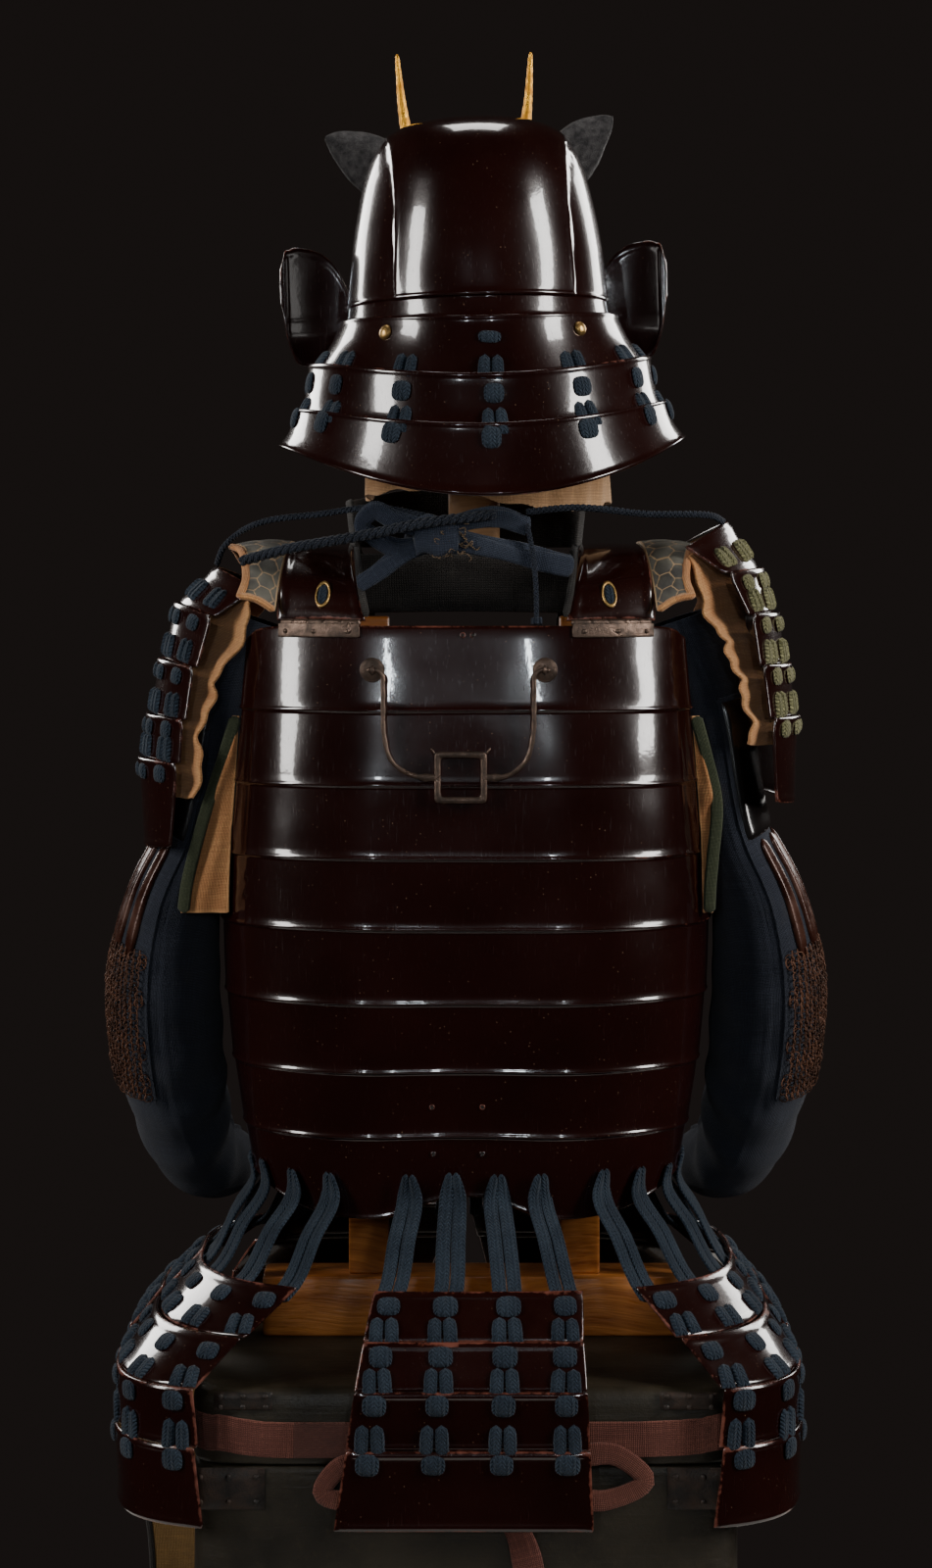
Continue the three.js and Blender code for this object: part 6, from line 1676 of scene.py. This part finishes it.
# %% Knot at the nape
KNOT_STRIPS = [
    ([(-30, -112, 1132), (-58, -110, 1142), (-76, -108, 1150), (-86, -108, 1139), (-74, -108, 1126),
      (-56, -109, 1118), (-28, -112, 1124)], 7.5, 3.4),
    ([(-26, -114, 1130), (10, -114, 1122), (50, -112, 1112), (88, -110, 1104)], 9, 3),
    ([(-26, -112, 1134), (8, -112, 1142), (30, -112, 1144), (52, -113, 1136)], 8, 3),
    ([(-30, -112, 1124), (-60, -110, 1108), (-88, -108, 1088)], 7, 2.5),
    ([(-42, -113, 1128), (-24, -115, 1129), (-6, -114, 1128)], 17, 7)]
forms = []
for number, (path, wide, thick) in enumerate(KNOT_STRIPS):
    s = steps(46)
    for layer in (-1, 1):
        line = smooth_path(np.array(path, float) + [0, layer * thick * 0.3, layer * 1.6], 46)
        forms.append(sweep(line, wide * (0.86 + 0.12 * np.sin(s * 9 + number + layer)), thick * 0.72,
                           (0, -1, 0), 16, 2.6,
                           blunt=0.5))
forms.append(sweep(smooth_path([(-34, -112, 1134), (-40, -70, 1136), (-44, -24, 1124), (-44, 6, 1120.2)],
                               80), 9, 2.4,
                   (0, 0, 1), 16, 2.6, blunt=0.4))
piece("nape_knot_strips", joined(*forms), knot_hemp, ["nape_knot"])
rng = np.random.default_rng(21)
threads = []
for number in range(26):
    start = np.array([rng.uniform(-34, 2), -118.5 + rng.uniform(-1, 1), 1124 + rng.uniform(-8, 8)])
    spots = start + np.cumsum(rng.uniform(-5, 5, (6, 3)) * [1, 0.25, 1], axis=0)
    spots[:, 1] = np.clip(spots[:, 1], -124, -117.5)
    threads.append(sweep(smooth_path(spots, 30), 0.55, 0.55, (0, -1, 0), 5, blunt=0.8))
piece("nape_knot_frayed_threads", joined(*threads), frayed_thread)

# %% [markdown]
# ## Floor and light
# A small round floor carries the chest. Two tall soft boxes stand at the sides, a little behind
# the camera's line to the armour, because that is where a rounded dark plate mirrors them as
# the two long highlights of the photograph. Weaker ones fill the top and the front.

# %% Floor
turn = steps(129, 0, 2 * np.pi)[:-1]
radii = np.array([0.1, 200, 500, 728, 734, 736, 736])
levels = np.array([-0.6, -0.6, -0.6, -0.6, -1.6, -4, -30])
floor_grid = np.stack([radii[:, None] * np.cos(turn), radii[:, None] * np.sin(turn),
                       levels[:, None] + 0 * turn], -1)
floor_made, t, to = material("pale floor", (0.55, 0.53, 0.50), 0.7)
to("Roughness", t.range(t.noise(t.place(), 30, detail=4), 0.3, 0.7, 0.6, 0.8))
floor_mesh = bpy.data.meshes.new("floor")
floor_mesh.from_pydata((floor_grid.reshape(-1, 3) / 1000).tolist(), [], quads(7, 128, True).tolist())
floor_mesh.materials.append(floor_made)
floor = bpy.data.objects.new("floor", floor_mesh)
bpy.context.scene.collection.objects.link(floor)
floor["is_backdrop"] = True

# %% Light
from mathutils import Matrix


def soft_box(name, place, aim, wide, high, watts, tint=(1.0, 0.97, 0.94)):
    """An area light that looks at a point: its minus Z axis goes from its place to the aim."""
    data = bpy.data.lights.new(name, "AREA")
    data.shape, data.size, data.size_y = "RECTANGLE", wide, high
    data.energy, data.color = watts, tint
    light = bpy.data.objects.new(name, data)
    back = unit(np.array(place, float) - np.array(aim, float))
    right = unit(np.cross([0, 0, 1.0], back) + 1e-6)
    up = np.cross(back, right)
    light.rotation_euler = Matrix(np.stack([right, up, back], 1).tolist()).to_euler()
    light.location = place
    bpy.context.scene.collection.objects.link(light)
    return light


soft_box("box left", (-2.3, -1.15, 1.75), (0, 0, 0.95), 0.55, 1.5, 44)
soft_box("box right", (2.3, -1.05, 1.85), (0, 0, 0.95), 0.6, 1.6, 62)
soft_box("top", (0.0, 0.5, 3.2), (0, 0, 1.0), 0.9, 0.7, 15)
soft_box("strip left", (-0.75, -3.6, 1.55), (0, 0, 0.9), 0.10, 0.42, 8, (0.86, 0.94, 1.0))
soft_box("strip right", (0.55, -3.6, 1.6), (0, 0, 0.9), 0.10, 0.42, 8, (0.86, 0.94, 1.0))
soft_box("front left", (-1.9, 2.2, 1.9), (0, 0, 0.9), 1.0, 1.2, 34)
soft_box("front right", (1.9, 2.2, 1.9), (0, 0, 0.9), 1.0, 1.2, 30)
world = bpy.data.worlds.new("studio")
world.use_nodes = True
world.node_tree.nodes["Background"].inputs[0].default_value = (0.011, 0.0085, 0.0078, 1)
world.node_tree.nodes["Background"].inputs[1].default_value = 1.0
bpy.context.scene.world = world

# %% Size, and the last line
low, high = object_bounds()
